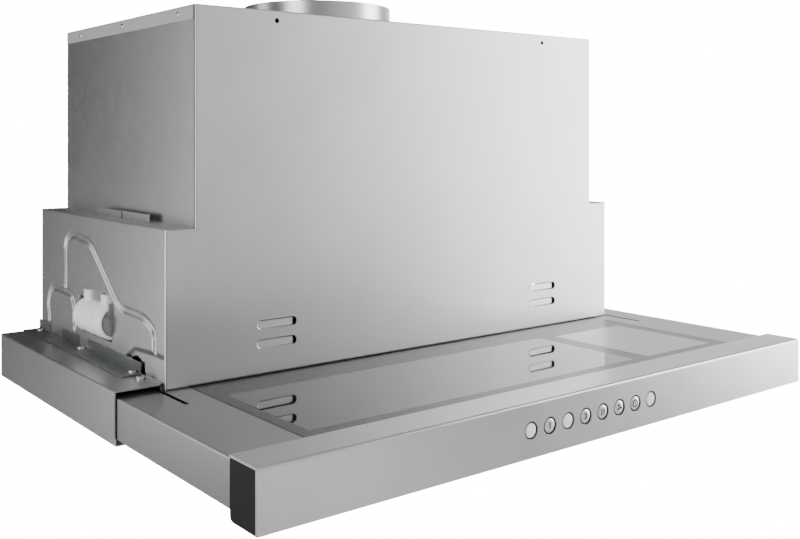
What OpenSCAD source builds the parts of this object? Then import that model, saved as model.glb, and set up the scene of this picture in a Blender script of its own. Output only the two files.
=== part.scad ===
// Under cabinet range hood with a pull-out screen and a handle bar.
// X runs along the handle bar, +Y goes back to the wall, +Z is up.
// The screen is drawn pulled out, which is its rest position.
// The origin is at the middle of the footprint, on the plane it stands on.

/* [Overall] */
// Width over the wings and the handle bar
hood_w = 598; // [580:1:720]
// How far the screen pulls out
pull = 172; // [120:1:185]

/* [Casing] */
// Width of the lower casing
body_w = 521; // [500:1:530]
// Depth of the casing
body_d = 284; // [275:1:345]
// Height of the casing above its lower edge
body_h = 303; // [290:1:370]
// Height of the shoulder above the lower edge
shoulder_h = 125; // [115:1:160]
// Width of the upper casing
duct_w = 470; // [420:1:490]
// Thickness of the casing's sheet steel
sheet = 1; // [0.8:0.1:1.2]
// Height of the lip folded down from the top cover
lip_h = 12; // [8:1:20]
// Diameter of the two front screw holes
front_hole_d = 4.2; // [3:0.1:6]
// Distance between the two front screw holes
front_hole_pitch = 320; // [240:1:360]

/* [Pressed vents] */
// Length of a pressed vent
vent_l = 39; // [25:1:60]
// Height of a pressed vent
vent_h = 8; // [6:0.5:12]
// Depth that a vent is pressed in
vent_deep = 2; // [1:0.5:4]
// Distance between the vents of a pair
vent_pitch = 16; // [14:1:24]

/* [Duct collar] */
// Outside diameter of the collar
collar_d = 150; // [120:1:160]
// Height of the collar above the casing
collar_h = 25.5; // [24:0.5:40]
// Wall of the collar
collar_wall = 1.2; // [0.8:0.1:2]
// Sideways offset of the collar from the middle
collar_x = -25; // [-60:1:60]
// Width of the raised hump of the flap bridge
hump_w = 46; // [30:1:60]
// Height of the hump above the collar's rim
hump_rise = 10; // [4:1:16]

/* [Wings] */
// Height of a side wing
wing_h = 41; // [40.5:0.5:48]
// Thickness of the wing's sheet
wing_t = 1; // [0.8:0.1:1.2]
// Width of the return lip under the wing
wing_lip = 8; // [4:1:10]
// Distance of the wing's front edge behind the casing's front
wing_setback = 6; // [2:1:12]

/* [Screen] */
// Height of the handle bar
bar_h = 41; // [40:0.5:48]
// Depth of the handle bar
bar_d = 33; // [28:1:40]
// Wall of the handle bar
bar_wall = 1.5; // [1.2:0.1:2]
// Thickness of an end cap
cap_t = 2.5; // [2:0.5:4]
// Height of the screen's side walls
tray_h = 32.8; // [30:0.2:34]
// Thickness of the screen's sheet
tray_t = 1; // [0.8:0.1:1.2]
// Half the width of the glass carrier in the screen
carrier_half = 240; // [200:1:245]
// Thickness of the glass carrier
carrier_t = 3; // [2.5:0.1:3.5]
// Width of the glass pane
pane_w = 344; // [200:1:360]
// Depth of the glass pane
pane_d = 117; // [80:1:130]
// Thickness of the glass pane
pane_t = 1.5; // [1:0.1:2]
// Width of the slot in which a hanger runs
slot_w = 3.6; // [3:0.2:6]

/* [Buttons] */
// Diameter of a button
button_d = 11; // [8:0.5:13]
// Distance between buttons
button_pitch = 20; // [18:1:28]
// Travel of a button
button_travel = 1.5; // [0.5:0.1:3]

/* [Side latches] */
// Radius of the latch's curved shell
latch_r = 16; // [12:0.5:17]
// Length of the latch
latch_l = 62; // [40:1:66]
// How far the latch stands out of the side panel
latch_out = 11.6; // [6:0.2:13]

/* [Filters] */
// Thickness of a filter cassette
filter_t = 8; // [6:0.5:9]
// Radius of a filter's hinge pin
filter_pin_r = 2; // [1.5:0.1:2.5]

/* [Fits] */
// Radial clearance of a pin that turns in its bore
run_fit = 0.06; // [0.02:0.01:0.1]
// Gap between pieces that slide past each other
slide_gap = 0.4; // [0.3:0.1:0.6]
// Gap left when the screen is pushed in
stop_gap = 0.8; // [0.5:0.1:2]

/* [Hidden] */
$fn = 64;
eps = 0.01;

// Depths, from the handle bar at the front to the wings' back ends
wing_over = 4.2;
total_d = bar_d + stop_gap + pull + body_d + wing_over;
y_bar = -total_d / 2;
y_bar_back = y_bar + bar_d;
y_body = y_bar_back + stop_gap + pull;
y_back = y_body + body_d;
y_wing = y_body + wing_setback;
y_wing_back = y_back + wing_over;

// Heights
wing_z = 1;
wing_top = wing_z + wing_h;
tray_z = 5.6;
tray_top = tray_z + tray_h;
base_z = tray_top + slide_gap;
shoulder_z = base_z + shoulder_h;
top_z = base_z + body_h;
rim_z = top_z + collar_h;

// Half widths
half_w = hood_w / 2;
half_body = body_w / 2;
half_duct = duct_w / 2;
half_tray = half_w - wing_t - 0.5;

// Casing details
flange_d = 12;
lip_t = 0.8;
front_hole_drop = 8.5;
vent_x = 160;
vent_z = 41;
vent_wall = 0.8;
y_collar = y_body + body_d / 2;
inlet_x = 170;
inlet_z = top_z - 42;
inlet_r = 9;
inlet_bore = 4.5;
shoulder_hole_r = 2.5;
ear_x = half_duct + 8;
ear_h = 6.5;
ear_step = 1.5;
ear_y = y_body + 70;
ear_mid = y_body + 126;
ear_back = y_body + 182;

// Opening in the base plate over the filters
inlet_back = 25;
inlet_run = 145;
inlet_half = 150;

// Duct collar and its flaps
collar_foot = 10;
collar_seat = 4;
collar_screw_r = 1.6;
flap_z = top_z + 5;
flap_t = 1.5;
flap_r = collar_d / 2 - collar_wall - 1;
flap_axis = 5;
flap_barrel_r = 3;
flap_pin_r = 1.5;
flap_pin_l = 40;
cheek_t = 4;
cheek_gap = 0.6;
bridge_t = 3;
bridge_z = flap_z + flap_barrel_r + 1;
hump_r = 6;

// Beads pressed into the side panel: distance behind the front, height above the lower edge
bead_w = 8;
bead_deep = 1.2;
bead_skin = 0.8;
bead_rise = [[body_d - 66, 56], [body_d - 66, 99], [body_d - 84, 106], [body_d - 128, 102],
    [97, 57], [84, 52], [41, 51], [20, 44], [20, 26]];
bead_low = [[body_d - 22, 19], [body_d - 18, 36], [body_d - 30, 51], [body_d - 82, 50],
    [body_d - 88, 42], [body_d - 90, 20]];

// Side latch and its window
latch_y = y_body + 108;
latch_z = base_z + 36.5;
latch_axis_x = half_body + latch_out - latch_r;
latch_skin = 2.4;
latch_ribs = 5;
latch_pin_r = 2;
latch_pin_x = half_body - sheet - 5;
latch_pin_z = latch_z + latch_r + 6;
window_gap = 2;
window_y0 = latch_y - window_gap;
window_y1 = latch_y + latch_l + window_gap + 3;
window_z0 = latch_z - latch_r - 0.5;
window_z1 = latch_z + latch_r + 0.5;
latch_arm_w = 12;
latch_arms = [5, latch_l - 5 - latch_arm_w];
latch_boss_r = 4;
latch_end_t = 1.5;
pin_plate_t = 2;
spring_wire = 0.6;
spring_turns = 8;
spring_pitch = 1.15;
window_ear = 3.5;

// Relief in the side panel beside the front end of the rail
pocket_y = 57;
pocket_r = 22;

// Rails beside the casing and the screws that hold them
rail_z = wing_top + 1;
rail_t = 1.2;
rail_w = 17;
rail_y = y_body + 44;
rail_back = y_wing_back;
rail_up = 10;
// Start and length of each upright stretch of the rail, behind the casing's front
rail_steps = [[44, 114], [body_d - 102, 41], [body_d - 25, 25 + wing_over]];
screw_r = 3;
screw_head = 1.8;
rail_screws = [53, body_d - 116, body_d - 8];
wing_pads = [55, body_d - 113, body_d - 55];
wing_pad_x = half_body + 10;
wing_pad_r = 4;
lid_screw_r = 2.5;

// Hangers, underframe, filters
hanger_t = 1.2;
hanger_x = half_body + 2.4;
hanger_y = y_body + 134;
hanger_back = y_back - 6;
frame_z = 2;
frame_t = 1.2;
frame_h = 10;
frame_half = half_tray - 13.5;
wing_in = hanger_x + hanger_t + 0.5;
frame_y = y_body + 1.5;
frame_back = y_back - sheet;
rail_d = 33;
filter_y = frame_y + rail_d + 1;
filter_back = y_back - 12;
filter_in = 10;
filter_out = half_body - 1.5;
filter_z = frame_z + 1;
filter_rim = 12;
filter_front_rim = 20;
filter_gap = 0.8;
mesh_t = 3;
hinge_y = filter_back - filter_t / 2;
hinge_z = filter_z + filter_t / 2;
lug_t = 4;
lamp_x = 130;
lamp_r = 13;
catch_w = 30;
catch_travel = 4;

// Slides between the hangers and the screen's side walls
slide_t = 1.2;
slide_h = 18;
slide_z = 17;
slide_reach = 12;
slide_web = frame_half - 3;
slide_y = y_body + 12;
slide_back = y_back - 8;
slide_mid_l = 200;
slide_step = 2.2;

// Screen
slot_front = hanger_y - pull - 6;
tray_back = y_back - 16 - pull;
slide_inner_y = y_bar_back + 27;
carrier_y = y_bar_back + 4.6;
carrier_back = y_body + 44;
pane_x = -57;
pane_y = y_bar_back + 17.5;
pocket_gap = 0.25;
ledge = 8;
cover_x = 180;
cover_w = 94;
cover_d = 112;
hook_x = half_body - 2;
screen_filter_z = 16;
screen_filter_t = 9;
screen_filter_half = hook_x - hanger_t - 1;
screen_filter_y = y_bar_back + 5;
screen_filter_back = y_body - 6;

// Switch that the screen works
switch_w = 4.6;
switch_z = 12;

// Buttons
button_z = bar_h / 2;
ring_t = 1;
ring_deep = 0.5;
button_len = 8;
button_count = 8;
button_row_x = 1.5;
board_t = 1.6;
board_half = 96;
cap_round = 4;

// Blower
fan_y = y_collar - 30;
fan_z = base_z + 106;
fan_r = 62;
fan_l = 110;
scroll_r0 = 70;
scroll_grow = 30;
scroll_wall = 1.5;
scroll_half = fan_l / 2 + 13;
throat = 70;
// Angle at which the scroll's spiral starts, in degrees
tongue_a = 125;
web_x = collar_x + 4;
web_t = 2;
hub_l = 16;
hub_r = 9;
shroud_w = 12;
blades = 24;
motor_r = 36;
motor_out = scroll_half + 8;
motor_gap = 8;
shaft_r = 4;
shaft_in = 30;
bracket_t = 2;
bracket_w = 8;

// Control box
box_x = inlet_x - 70;
box_z = top_z - 22;
box_w = 100;
box_d = 55;
box_h = 80;
box_wall = 2;

module box(x0, x1, y0, y1, z0, z1) {
    translate([x0, y0, z0]) cube([x1 - x0, y1 - y0, z1 - z0]);
}

// A round bar along X, Y or Z
module rod_x(r, x0, x1, y, z) {
    translate([x0, y, z]) rotate([0, 90, 0]) cylinder(r = r, h = x1 - x0);
}

module rod_y(r, x, y0, y1, z) {
    translate([x, y0, z]) rotate([-90, 0, 0]) cylinder(r = r, h = y1 - y0);
}

module rod_z(r, x, y, z0, z1) {
    translate([x, y, z0]) cylinder(r = r, h = z1 - z0);
}

// Draws a left-hand piece as it is, or its right-hand twin
module on_side(side) {
    mirror([side > 0 ? 1 : 0, 0, 0]) children();
}

module both_sides() {
    children();
    mirror([1, 0, 0]) children();
}

// ---- casing ----

module casing_outline() {
    polygon([[-half_body, base_z], [half_body, base_z], [half_body, shoulder_z],
        [half_duct, shoulder_z], [half_duct, top_z], [-half_duct, top_z],
        [-half_duct, shoulder_z], [-half_body, shoulder_z]]);
}

module casing_sheet(y) {
    translate([0, y + sheet, 0]) rotate([90, 0, 0]) linear_extrude(sheet) casing_outline();
}

// An obround that lies along X, seen from the front, grown by g
module obround(x, z, y0, y1, g = 0) {
    r = vent_h / 2 + g;
    run = vent_l / 2 - vent_h / 2;
    for (s = [-1, 1]) rod_y(r, x + s * run, y0, y1, z);
    box(x - run, x + run, y0, y1, z - r, z + r);
}

module vent_places() {
    for (s = [-1, 1], row = [0, 1])
        translate([s * vent_x, 0, base_z + vent_z - row * vent_pitch]) children();
}

module casing_front() {
    y_in = y_body + sheet;
    color("gainsboro") difference() {
        union() {
            casing_sheet(y_body);
            both_sides() {
                box(-half_body + sheet, -half_body + 2 * sheet, y_in, y_in + flange_d,
                    base_z + sheet, shoulder_z - sheet);
                box(-half_duct + sheet, -half_duct + 2 * sheet, y_in, y_in + flange_d,
                    shoulder_z, top_z - sheet);
            }
            vent_places() obround(0, 0, y_body, y_body + vent_deep + vent_wall, vent_wall);
        }
        vent_places() {
            obround(0, 0, y_body - eps, y_body + vent_deep);
            box(vent_l / 2 - 2 * vent_wall - 1, vent_l / 2 + 1, y_body + sheet + eps,
                y_body + vent_deep + vent_wall + eps, -vent_h / 2 - 1, vent_h / 2 + 1);
        }
        both_sides()
            rod_y(front_hole_d / 2, front_hole_pitch / 2, y_body - eps, y_in + eps,
                top_z - front_hole_drop);
    }
}

module casing_back() {
    y = y_back - sheet;
    color("silver") difference() {
        union() {
            casing_sheet(y);
            both_sides() {
                box(-half_body + sheet, -half_body + 2 * sheet, y - flange_d, y,
                    base_z + sheet, shoulder_z - sheet);
                box(-half_duct + sheet, -half_duct + 2 * sheet, y - flange_d, y,
                    shoulder_z, top_z - sheet);
            }
        }
        rod_y(inlet_r, inlet_x, y - eps, y_back + eps, inlet_z);
    }
}

// A strip that follows a list of points, with twelve-sided discs at its corners
module bead_shape(points, r) {
    for (p = points) translate([y_body + p[0], base_z + p[1]]) circle(r, $fn = 12);
    for (i = [0 : len(points) - 2]) {
        a = points[i];
        d = points[i + 1] - a;
        translate([y_body + a[0], base_z + a[1]]) rotate(atan2(d[1], d[0]))
            translate([0, -0.98 * r]) square([norm(d), 1.96 * r]);
    }
}

// The same strip between two X planes
module bead_run(points, r, x0, x1) {
    translate([x0, 0, 0]) rotate([90, 0, 90]) linear_extrude(x1 - x0) bead_shape(points, r);
}

module side_panel() {
    x0 = -half_body;
    x1 = -half_body + sheet;
    deep = x0 + bead_deep;
    y0 = y_body + sheet;
    y1 = y_back - sheet;
    difference() {
        union() {
            box(x0, x1, y0, y1, base_z, shoulder_z - sheet);
            bead_run(bead_rise, bead_w / 2 + bead_skin, x0, deep + bead_skin);
            bead_run(bead_low, bead_w / 2 + bead_skin, x0, deep + bead_skin);
            // ears bent out at the window's corners
            for (y = [window_y0 - 1, window_y1])
                box(x0 - window_ear, x1, y, y + 1, window_z1 - 12, window_z1 + 1);
        }
        bead_run(bead_rise, bead_w / 2, x0 - eps, deep);
        bead_run(bead_low, bead_w / 2, x0 - eps, deep);
        box(x0 - eps, deep + 2, window_y0, window_y1, window_z0, window_z1);
        // notches for the latch's arms
        for (y = latch_arms)
            box(x0 - eps, deep + 2, latch_y + y - 1, latch_y + y + latch_arm_w + 1,
                window_z1 - eps, latch_pin_z + 2);
        // arched relief under the front of the window
        intersection() {
            rod_x(pocket_r, x0 - eps, x1 + eps, y_body + pocket_y, base_z - 5);
            box(x0 - 1, x1 + 1, y_body + 28, y_body + 84, base_z + 5, base_z + 60);
        }
        // notches and a round hole along the back edge
        for (h = [55, 103]) box(x0 - eps, x1 + eps, y1 - 2.5, y1 + eps, base_z + h, base_z + h + 3);
        rod_x(2, x0 - eps, x1 + eps, y_back - 8, base_z + 103);
    }
}

module side_panel_left() {
    color("darkgray") side_panel();
}

module side_panel_right() {
    color("darkgray") on_side(1) side_panel();
}

module duct_sides() {
    color("darkgray") both_sides()
        box(-half_duct, -half_duct + sheet, y_body + sheet, y_back - sheet,
            shoulder_z, top_z - sheet);
}

module shoulder() {
    z0 = shoulder_z - sheet;
    difference() {
        box(-half_body, -half_duct + sheet, y_body + sheet, y_back - sheet, z0, shoulder_z);
        rod_z(shoulder_hole_r, -half_duct - 20, y_body + 60, z0 - eps, shoulder_z + eps);
        rod_z(shoulder_hole_r, -half_duct - 5, y_back - 30, z0 - eps, shoulder_z + eps);
    }
    // a bent ear with a joggle half way
    box(-ear_x, -ear_x + sheet, ear_y, ear_mid, shoulder_z, shoulder_z + ear_h);
    box(-ear_x - ear_step, -ear_x - ear_step + sheet, ear_mid - sheet, ear_back, shoulder_z,
        shoulder_z + ear_h);
    box(-ear_x - ear_step, -ear_x + sheet, ear_mid - sheet, ear_mid, shoulder_z,
        shoulder_z + ear_h);
}

module shoulders() {
    color("darkgray") both_sides() shoulder();
}

module top_cover() {
    color("silver") difference() {
        union() {
            box(-half_duct - lip_t, half_duct + lip_t, y_body + sheet, y_back - sheet,
                top_z - sheet, top_z);
            both_sides()
                box(-half_duct - lip_t, -half_duct, y_body + sheet, y_back - sheet,
                    top_z - lip_h, top_z);
        }
        rod_z(collar_d / 2 - collar_wall, collar_x, y_collar, top_z - sheet - eps, top_z + eps);
    }
}

module base_plate() {
    z1 = base_z + sheet;
    color("darkgray") difference() {
        box(-half_body + sheet, half_body - sheet, y_body + sheet, y_back - sheet, base_z, z1);
        box(collar_x - inlet_half, collar_x + inlet_half, y_back - inlet_back - inlet_run,
            y_back - inlet_back, base_z - eps, z1 + eps);
    }
}

// ---- duct collar and its flaps ----

module duct_collar() {
    r = collar_d / 2;
    inner = r - collar_wall;
    color("silver") translate([collar_x, y_collar, top_z]) difference() {
        union() {
            cylinder(r = r, h = collar_h);
            cylinder(r = r + collar_foot, h = collar_wall);
        }
        translate([0, 0, collar_seat]) cylinder(r = inner, h = collar_h);
        translate([0, 0, -eps]) cylinder(r = inner - 4, h = collar_h);
        for (a = [45 : 90 : 315])
            rotate(a) translate([r + collar_foot / 2, 0, -eps])
                cylinder(r = collar_screw_r, h = collar_wall + 1);
    }
}

// A thin wall across the collar that carries the pins of both flaps
module flap_bridge() {
    inner = collar_d / 2 - collar_wall - run_fit;
    half = hump_w / 2;
    top = rim_z + hump_rise;
    color("lightgray") translate([collar_x, y_collar, 0]) difference() {
        union() {
            intersection() {
                box(-inner, inner, -bridge_t / 2, bridge_t / 2, bridge_z, rim_z - 3);
                rod_z(inner, 0, 0, flap_z, rim_z);
            }
            box(-half + hump_r, half - hump_r, -bridge_t / 2, bridge_t / 2, rim_z - 4, top);
            box(-half, half, -bridge_t / 2, bridge_t / 2, rim_z - 4, top - hump_r);
            for (s = [-1, 1]) {
                rod_y(hump_r, s * (half - hump_r), -bridge_t / 2, bridge_t / 2, top - hump_r);
                // a cheek that holds the pins, and its stem
                translate([s * flap_pin_l / 2 - cheek_t / 2, 0, 0]) {
                    box(0, cheek_t, -flap_axis - 3, flap_axis + 3, flap_z - 2.5, bridge_z);
                    box(0, cheek_t, -bridge_t / 2, bridge_t / 2, flap_z, rim_z - 4);
                }
            }
        }
        for (s = [-1, 1])
            rod_x(flap_pin_r + run_fit, -flap_pin_l, flap_pin_l, s * flap_axis, flap_z);
    }
}

// One half-round flap; side is -1 for the front one
module flap(side) {
    cut = cheek_t / 2 + cheek_gap;
    reach = flap_axis + 6.2;
    color("dimgray") translate([collar_x, y_collar, 0]) {
        intersection() {
            difference() {
                rod_z(flap_r, 0, 0, flap_z - flap_t / 2, flap_z + flap_t / 2);
                for (s = [-1, 1])
                    box(s * flap_pin_l / 2 - cut, s * flap_pin_l / 2 + cut, -reach, reach,
                        flap_z - flap_t, flap_z + flap_t);
            }
            box(-flap_r, flap_r, side < 0 ? -flap_r : flap_axis, side < 0 ? -flap_axis : flap_r,
                flap_z - flap_t, flap_z + flap_t);
        }
        rod_x(flap_pin_r, -flap_pin_l / 2 - cheek_t / 2, flap_pin_l / 2 + cheek_t / 2,
            side * flap_axis, flap_z);
        rod_x(flap_barrel_r - 0.5, -flap_pin_l / 2 + cut, flap_pin_l / 2 - cut,
            side * flap_axis, flap_z);
    }
}

module flap_front() {
    flap(-1);
}

module flap_back() {
    flap(1);
}

// ---- blower ----

function scroll_radius(a) = scroll_r0 + scroll_grow * (a - tongue_a) / (360 - tongue_a);

// The scroll's outline in the Y-Z plane: a spiral from the tongue round to the throat
module scroll_outline(inset) {
    front = y_collar - throat - fan_y + inset;
    top = top_z - sheet - fan_z;
    polygon(concat(
        [for (a = [tongue_a : 5 : 360])
            [(scroll_radius(a) - inset) * cos(a), (scroll_radius(a) - inset) * sin(a)]],
        [[scroll_r0 + scroll_grow - inset, top + inset], [front, top + inset]]));
}

module scroll_block(half, inset) {
    translate([collar_x - half, fan_y, fan_z]) rotate([90, 0, 90])
        linear_extrude(2 * half) scroll_outline(inset);
}

module scroll_housing() {
    color("lightsteelblue") difference() {
        scroll_block(scroll_half + scroll_wall, 0);
        intersection() {
            scroll_block(scroll_half, scroll_wall);
            box(-hood_w, hood_w, y_bar, y_back, 0, top_z + 50);
        }
        rod_x(fan_r - 4, collar_x - scroll_half - 5, collar_x + scroll_half + 5, fan_y, fan_z);
    }
}

module impeller() {
    half = fan_l / 2;
    color("darkslategray") difference() {
        union() {
            for (x = [collar_x - half, collar_x + half - web_t])
                difference() {
                    rod_x(fan_r, x, x + web_t, fan_y, fan_z);
                    rod_x(fan_r - shroud_w, x - eps, x + web_t + eps, fan_y, fan_z);
                }
            rod_x(fan_r, web_x, web_x + web_t, fan_y, fan_z);
            rod_x(hub_r, web_x, web_x + hub_l, fan_y, fan_z);
            for (i = [0 : blades - 1])
                translate([collar_x - half, fan_y, fan_z]) rotate([i * 360 / blades, 0, 0])
                    translate([1, fan_r - shroud_w + 1, 0]) rotate([30, 0, 0])
                        cube([fan_l - 2, shroud_w - 3, 1.2]);
        }
        rod_x(shaft_r, web_x - 5, web_x + hub_l + 5, fan_y, fan_z);
    }
}

module motor_shaft() {
    color("silver") rod_x(shaft_r, web_x - motor_gap - shaft_in, web_x + hub_l + 4, fan_y, fan_z);
}

module motor() {
    color("dimgray") difference() {
        union() {
            rod_x(motor_r, collar_x - motor_out, web_x - motor_gap, fan_y, fan_z);
            rod_x(motor_r * 0.5, collar_x - motor_out - 4, collar_x - motor_out, fan_y, fan_z);
        }
        rod_x(shaft_r + run_fit, web_x - motor_gap - shaft_in - 2, web_x, fan_y, fan_z);
    }
}

module motor_bracket() {
    x1 = collar_x - scroll_half - scroll_wall;
    x0 = x1 - bracket_t;
    color("silver") difference() {
        union() {
            difference() {
                rod_x(fan_r + 6, x0, x1, fan_y, fan_z);
                rod_x(fan_r - 2, x0 - eps, x1 + eps, fan_y, fan_z);
            }
            rod_x(motor_r + 4, x0, x1, fan_y, fan_z);
            for (a = [30, 150, 270])
                translate([x0, fan_y, fan_z]) rotate([a, 0, 0])
                    translate([0, motor_r, -bracket_w / 2])
                        cube([bracket_t, fan_r - motor_r, bracket_w]);
        }
        rod_x(motor_r + run_fit, x0 - eps, x1 + eps, fan_y, fan_z);
    }
}

module control_box() {
    y1 = y_back - sheet;
    w = box_wall;
    color("whitesmoke") difference() {
        box(box_x, box_x + box_w, y1 - box_d, y1, box_z - box_h, box_z);
        box(box_x + w, box_x + box_w - w, y1 - box_d + w, y1 - w, box_z - box_h + w, box_z - w);
        rod_y(inlet_r, inlet_x, y1 - w - eps, y1 + eps, inlet_z);
    }
}

module mains_inlet() {
    y1 = y_back - sheet - box_wall;
    color("black") difference() {
        union() {
            rod_y(inlet_r, inlet_x, y1, y_back, inlet_z);
            rod_y(inlet_r + 3, inlet_x, y1 - 2, y1, inlet_z);
        }
        rod_y(inlet_bore, inlet_x, y1 - 2 - eps, y_back + eps, inlet_z);
    }
}

// ---- fixed frame under the casing ----

module catch_place(side) {
    translate([side * (filter_in + filter_out) / 2, filter_y, filter_z]) children();
}

module underframe() {
    z1 = frame_z + frame_t;
    color("silver") difference() {
        union() {
            box(-frame_half, frame_half, frame_y, frame_back, frame_z, z1);
            box(-frame_half, frame_half, frame_y, frame_y + frame_t, z1, frame_z + frame_h);
            box(-frame_half, frame_half, frame_back - frame_t, frame_back, z1, base_z);
            both_sides() {
                box(-frame_half, -frame_half + frame_t, frame_y, frame_back, z1,
                    frame_z + frame_h);
                box(-hanger_x - hanger_t, -hanger_x, hanger_y, hanger_back, z1, wing_top + 1);
                box(-slide_web, -hanger_x, hanger_y, hanger_back, slide_z - slide_t, slide_z);
                box(-slide_web - slide_t, -slide_web, hanger_y, hanger_back,
                    slide_z - slide_t, slide_z);
                box(-frame_half, -frame_half + lug_t, slide_y, slide_y + 14, z1, slide_z);
            }
            box(-lug_t, lug_t, hinge_y - 7, filter_back + 4, z1, hinge_z + 5);
        }
        both_sides()
            box(-filter_out - filter_gap, -filter_in + filter_gap, filter_y - filter_gap,
                filter_back + filter_gap, frame_z - eps, z1 + eps);
        for (s = [-1, 1]) {
            rod_z(lamp_r + 0.2, s * lamp_x, frame_y + rail_d / 2, frame_z - eps, z1 + eps);
            catch_place(s)
                box(-catch_w / 2, catch_w / 2, -5, 0, frame_z - filter_z - 1, z1);
        }
        rod_x(filter_pin_r + run_fit, -hanger_x - 5, hanger_x + 5, hinge_y, hinge_z);
    }
}

module lamp_housings() {
    color("white") for (s = [-1, 1])
        translate([s * lamp_x, frame_y + rail_d / 2, frame_z + frame_t]) difference() {
            union() {
                cylinder(r = lamp_r + 2, h = 1.2);
                cylinder(r = lamp_r, h = 9);
            }
            translate([0, 0, -eps]) cylinder(r = lamp_r - 2, h = 7);
        }
}

module lamp_lenses() {
    color("aliceblue") for (s = [-1, 1])
        rod_z(lamp_r, s * lamp_x, frame_y + rail_d / 2, frame_z, frame_z + frame_t);
}

module filter_frame(side) {
    mid = (filter_in + filter_out) / 2;
    color("silver") on_side(side) difference() {
        union() {
            difference() {
                box(-filter_out, -filter_in, filter_y, filter_back, filter_z,
                    filter_z + filter_t);
                box(-filter_out + filter_rim, -filter_in - filter_rim,
                    filter_y + filter_front_rim, filter_back - filter_rim,
                    filter_z - eps, filter_z + filter_t + eps);
            }
            rod_x(filter_pin_r, -hanger_x - hanger_t - 0.5, -filter_out, hinge_y, hinge_z);
            rod_x(filter_pin_r, -filter_in, -lug_t + 3, hinge_y, hinge_z);
        }
        // pocket for the sliding catch, and a narrower opening for a finger
        translate([-mid, filter_y, filter_z]) {
            box(-catch_w / 2 - 0.3, catch_w / 2 + 0.3, -eps, 12 + catch_travel + 0.4,
                0.7, filter_t - 0.7);
            box(-catch_w / 3 - 0.3, catch_w / 3 + 0.3, -eps, 12 + catch_travel + 0.4, -eps, 1);
        }
    }
}

module filter_frame_left() {
    filter_frame(-1);
}

module filter_frame_right() {
    filter_frame(1);
}

module filter_mesh(side) {
    color("lightgray") on_side(side)
        box(-filter_out + filter_rim, -filter_in - filter_rim, filter_y + filter_front_rim,
            filter_back - filter_rim, filter_z + filter_t / 2 - mesh_t / 2,
            filter_z + filter_t / 2 + mesh_t / 2);
}

module filter_mesh_left() {
    filter_mesh(-1);
}

module filter_mesh_right() {
    filter_mesh(1);
}

// The catch's nose points forward; it slides back to let the filter drop
module filter_catch(side) {
    color("dimgray") catch_place(side) {
        box(-catch_w / 2, catch_w / 2, 1, 12, 1, filter_t - 1);
        box(-catch_w / 2 + 3, catch_w / 2 - 3, -3, 1, 2, filter_t - 3);
        box(-catch_w / 3, catch_w / 3, 3, 11, -0.4, 1);
    }
}

module filter_catch_left() {
    filter_catch(-1);
}

module filter_catch_right() {
    filter_catch(1);
}

// ---- side wings and the rails that carry them ----

module wing() {
    box(-half_w, -half_w + wing_t, y_wing, y_wing_back, wing_z, wing_top);
    box(-half_w, -wing_in, y_wing, y_wing_back, wing_top - wing_t, wing_top);
    box(-wing_in - eps, -half_body - 0.3, y_wing, hanger_y - 1, wing_top - wing_t, wing_top);
    box(-half_w, -half_w + wing_lip, y_wing, y_wing_back, wing_z, wing_z + wing_t);
    // raised pads that the rail rests on
    for (back = wing_pads)
        rod_z(wing_pad_r, -wing_pad_x, y_body + back, wing_top - wing_t, rail_z);
}

module wing_left() {
    color("lightgray") wing();
}

module wing_right() {
    color("lightgray") on_side(1) wing();
}

module rail_brackets() {
    color("gainsboro") both_sides() {
        box(-half_body - rail_w, -half_body, rail_y, rail_back, rail_z, rail_z + rail_t);
        for (step = rail_steps)
            box(-half_body - rail_t, -half_body, y_body + step[0], y_body + step[0] + step[1],
                rail_z, rail_z + rail_up);
    }
}

module screws() {
    x = -half_body - rail_t - screw_r - 0.1;
    color("white") both_sides() {
        for (back = rail_screws)
            rod_z(screw_r, x, y_body + back, rail_z + rail_t, rail_z + rail_t + screw_head);
        // in front of the rail, straight into the wing
        rod_z(screw_r, -half_body - 7, y_body + 32, wing_top, wing_top + screw_head + 1);
        // along the lip of the top cover
        for (back = [30, body_d / 2, body_d - 40])
            rod_x(lid_screw_r, -half_duct - lip_t - 1.2, -half_duct - lip_t, y_body + back,
                top_z - lip_h / 2);
    }
}

// ---- side latches ----

module latch() {
    pitch = latch_l / latch_ribs;
    inner = latch_r - 1 - latch_skin;
    color("white") difference() {
        union() {
            intersection() {
                union() {
                    difference() {
                        union() {
                            rod_y(latch_r - 1, -latch_axis_x, latch_y, latch_y + latch_l, latch_z);
                            for (i = [0 : latch_ribs - 1])
                                rod_y(latch_r, -latch_axis_x, latch_y + i * pitch + 1,
                                    latch_y + (i + 1) * pitch - 2, latch_z);
                        }
                        rod_y(inner, -latch_axis_x, latch_y - 1, latch_y + latch_l + 1, latch_z);
                    }
                    // closed ends
                    for (y = [latch_end_t, latch_l - 2 * latch_end_t])
                        rod_y(inner + 0.2, -latch_axis_x, latch_y + y, latch_y + y + latch_end_t,
                            latch_z);
                }
                box(-latch_axis_x - latch_r - 1, -latch_axis_x + 6, latch_y, latch_y + latch_l,
                    latch_z - latch_r - 1, latch_z + latch_r + 1);
            }
            // arms that stand out through the window's notches
            for (y = latch_arms) {
                box(-half_body - 2.5, -latch_pin_x + latch_boss_r, latch_y + y,
                    latch_y + y + latch_arm_w, latch_z + latch_r - 3.2, latch_pin_z);
                rod_y(latch_boss_r, -latch_pin_x, latch_y + y, latch_y + y + latch_arm_w,
                    latch_pin_z);
            }
        }
        rod_y(latch_pin_r + run_fit, -latch_pin_x, latch_y - 1, latch_y + latch_l + 1,
            latch_pin_z);
    }
}

module latch_left() {
    latch();
}

module latch_right() {
    on_side(1) latch();
}

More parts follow.
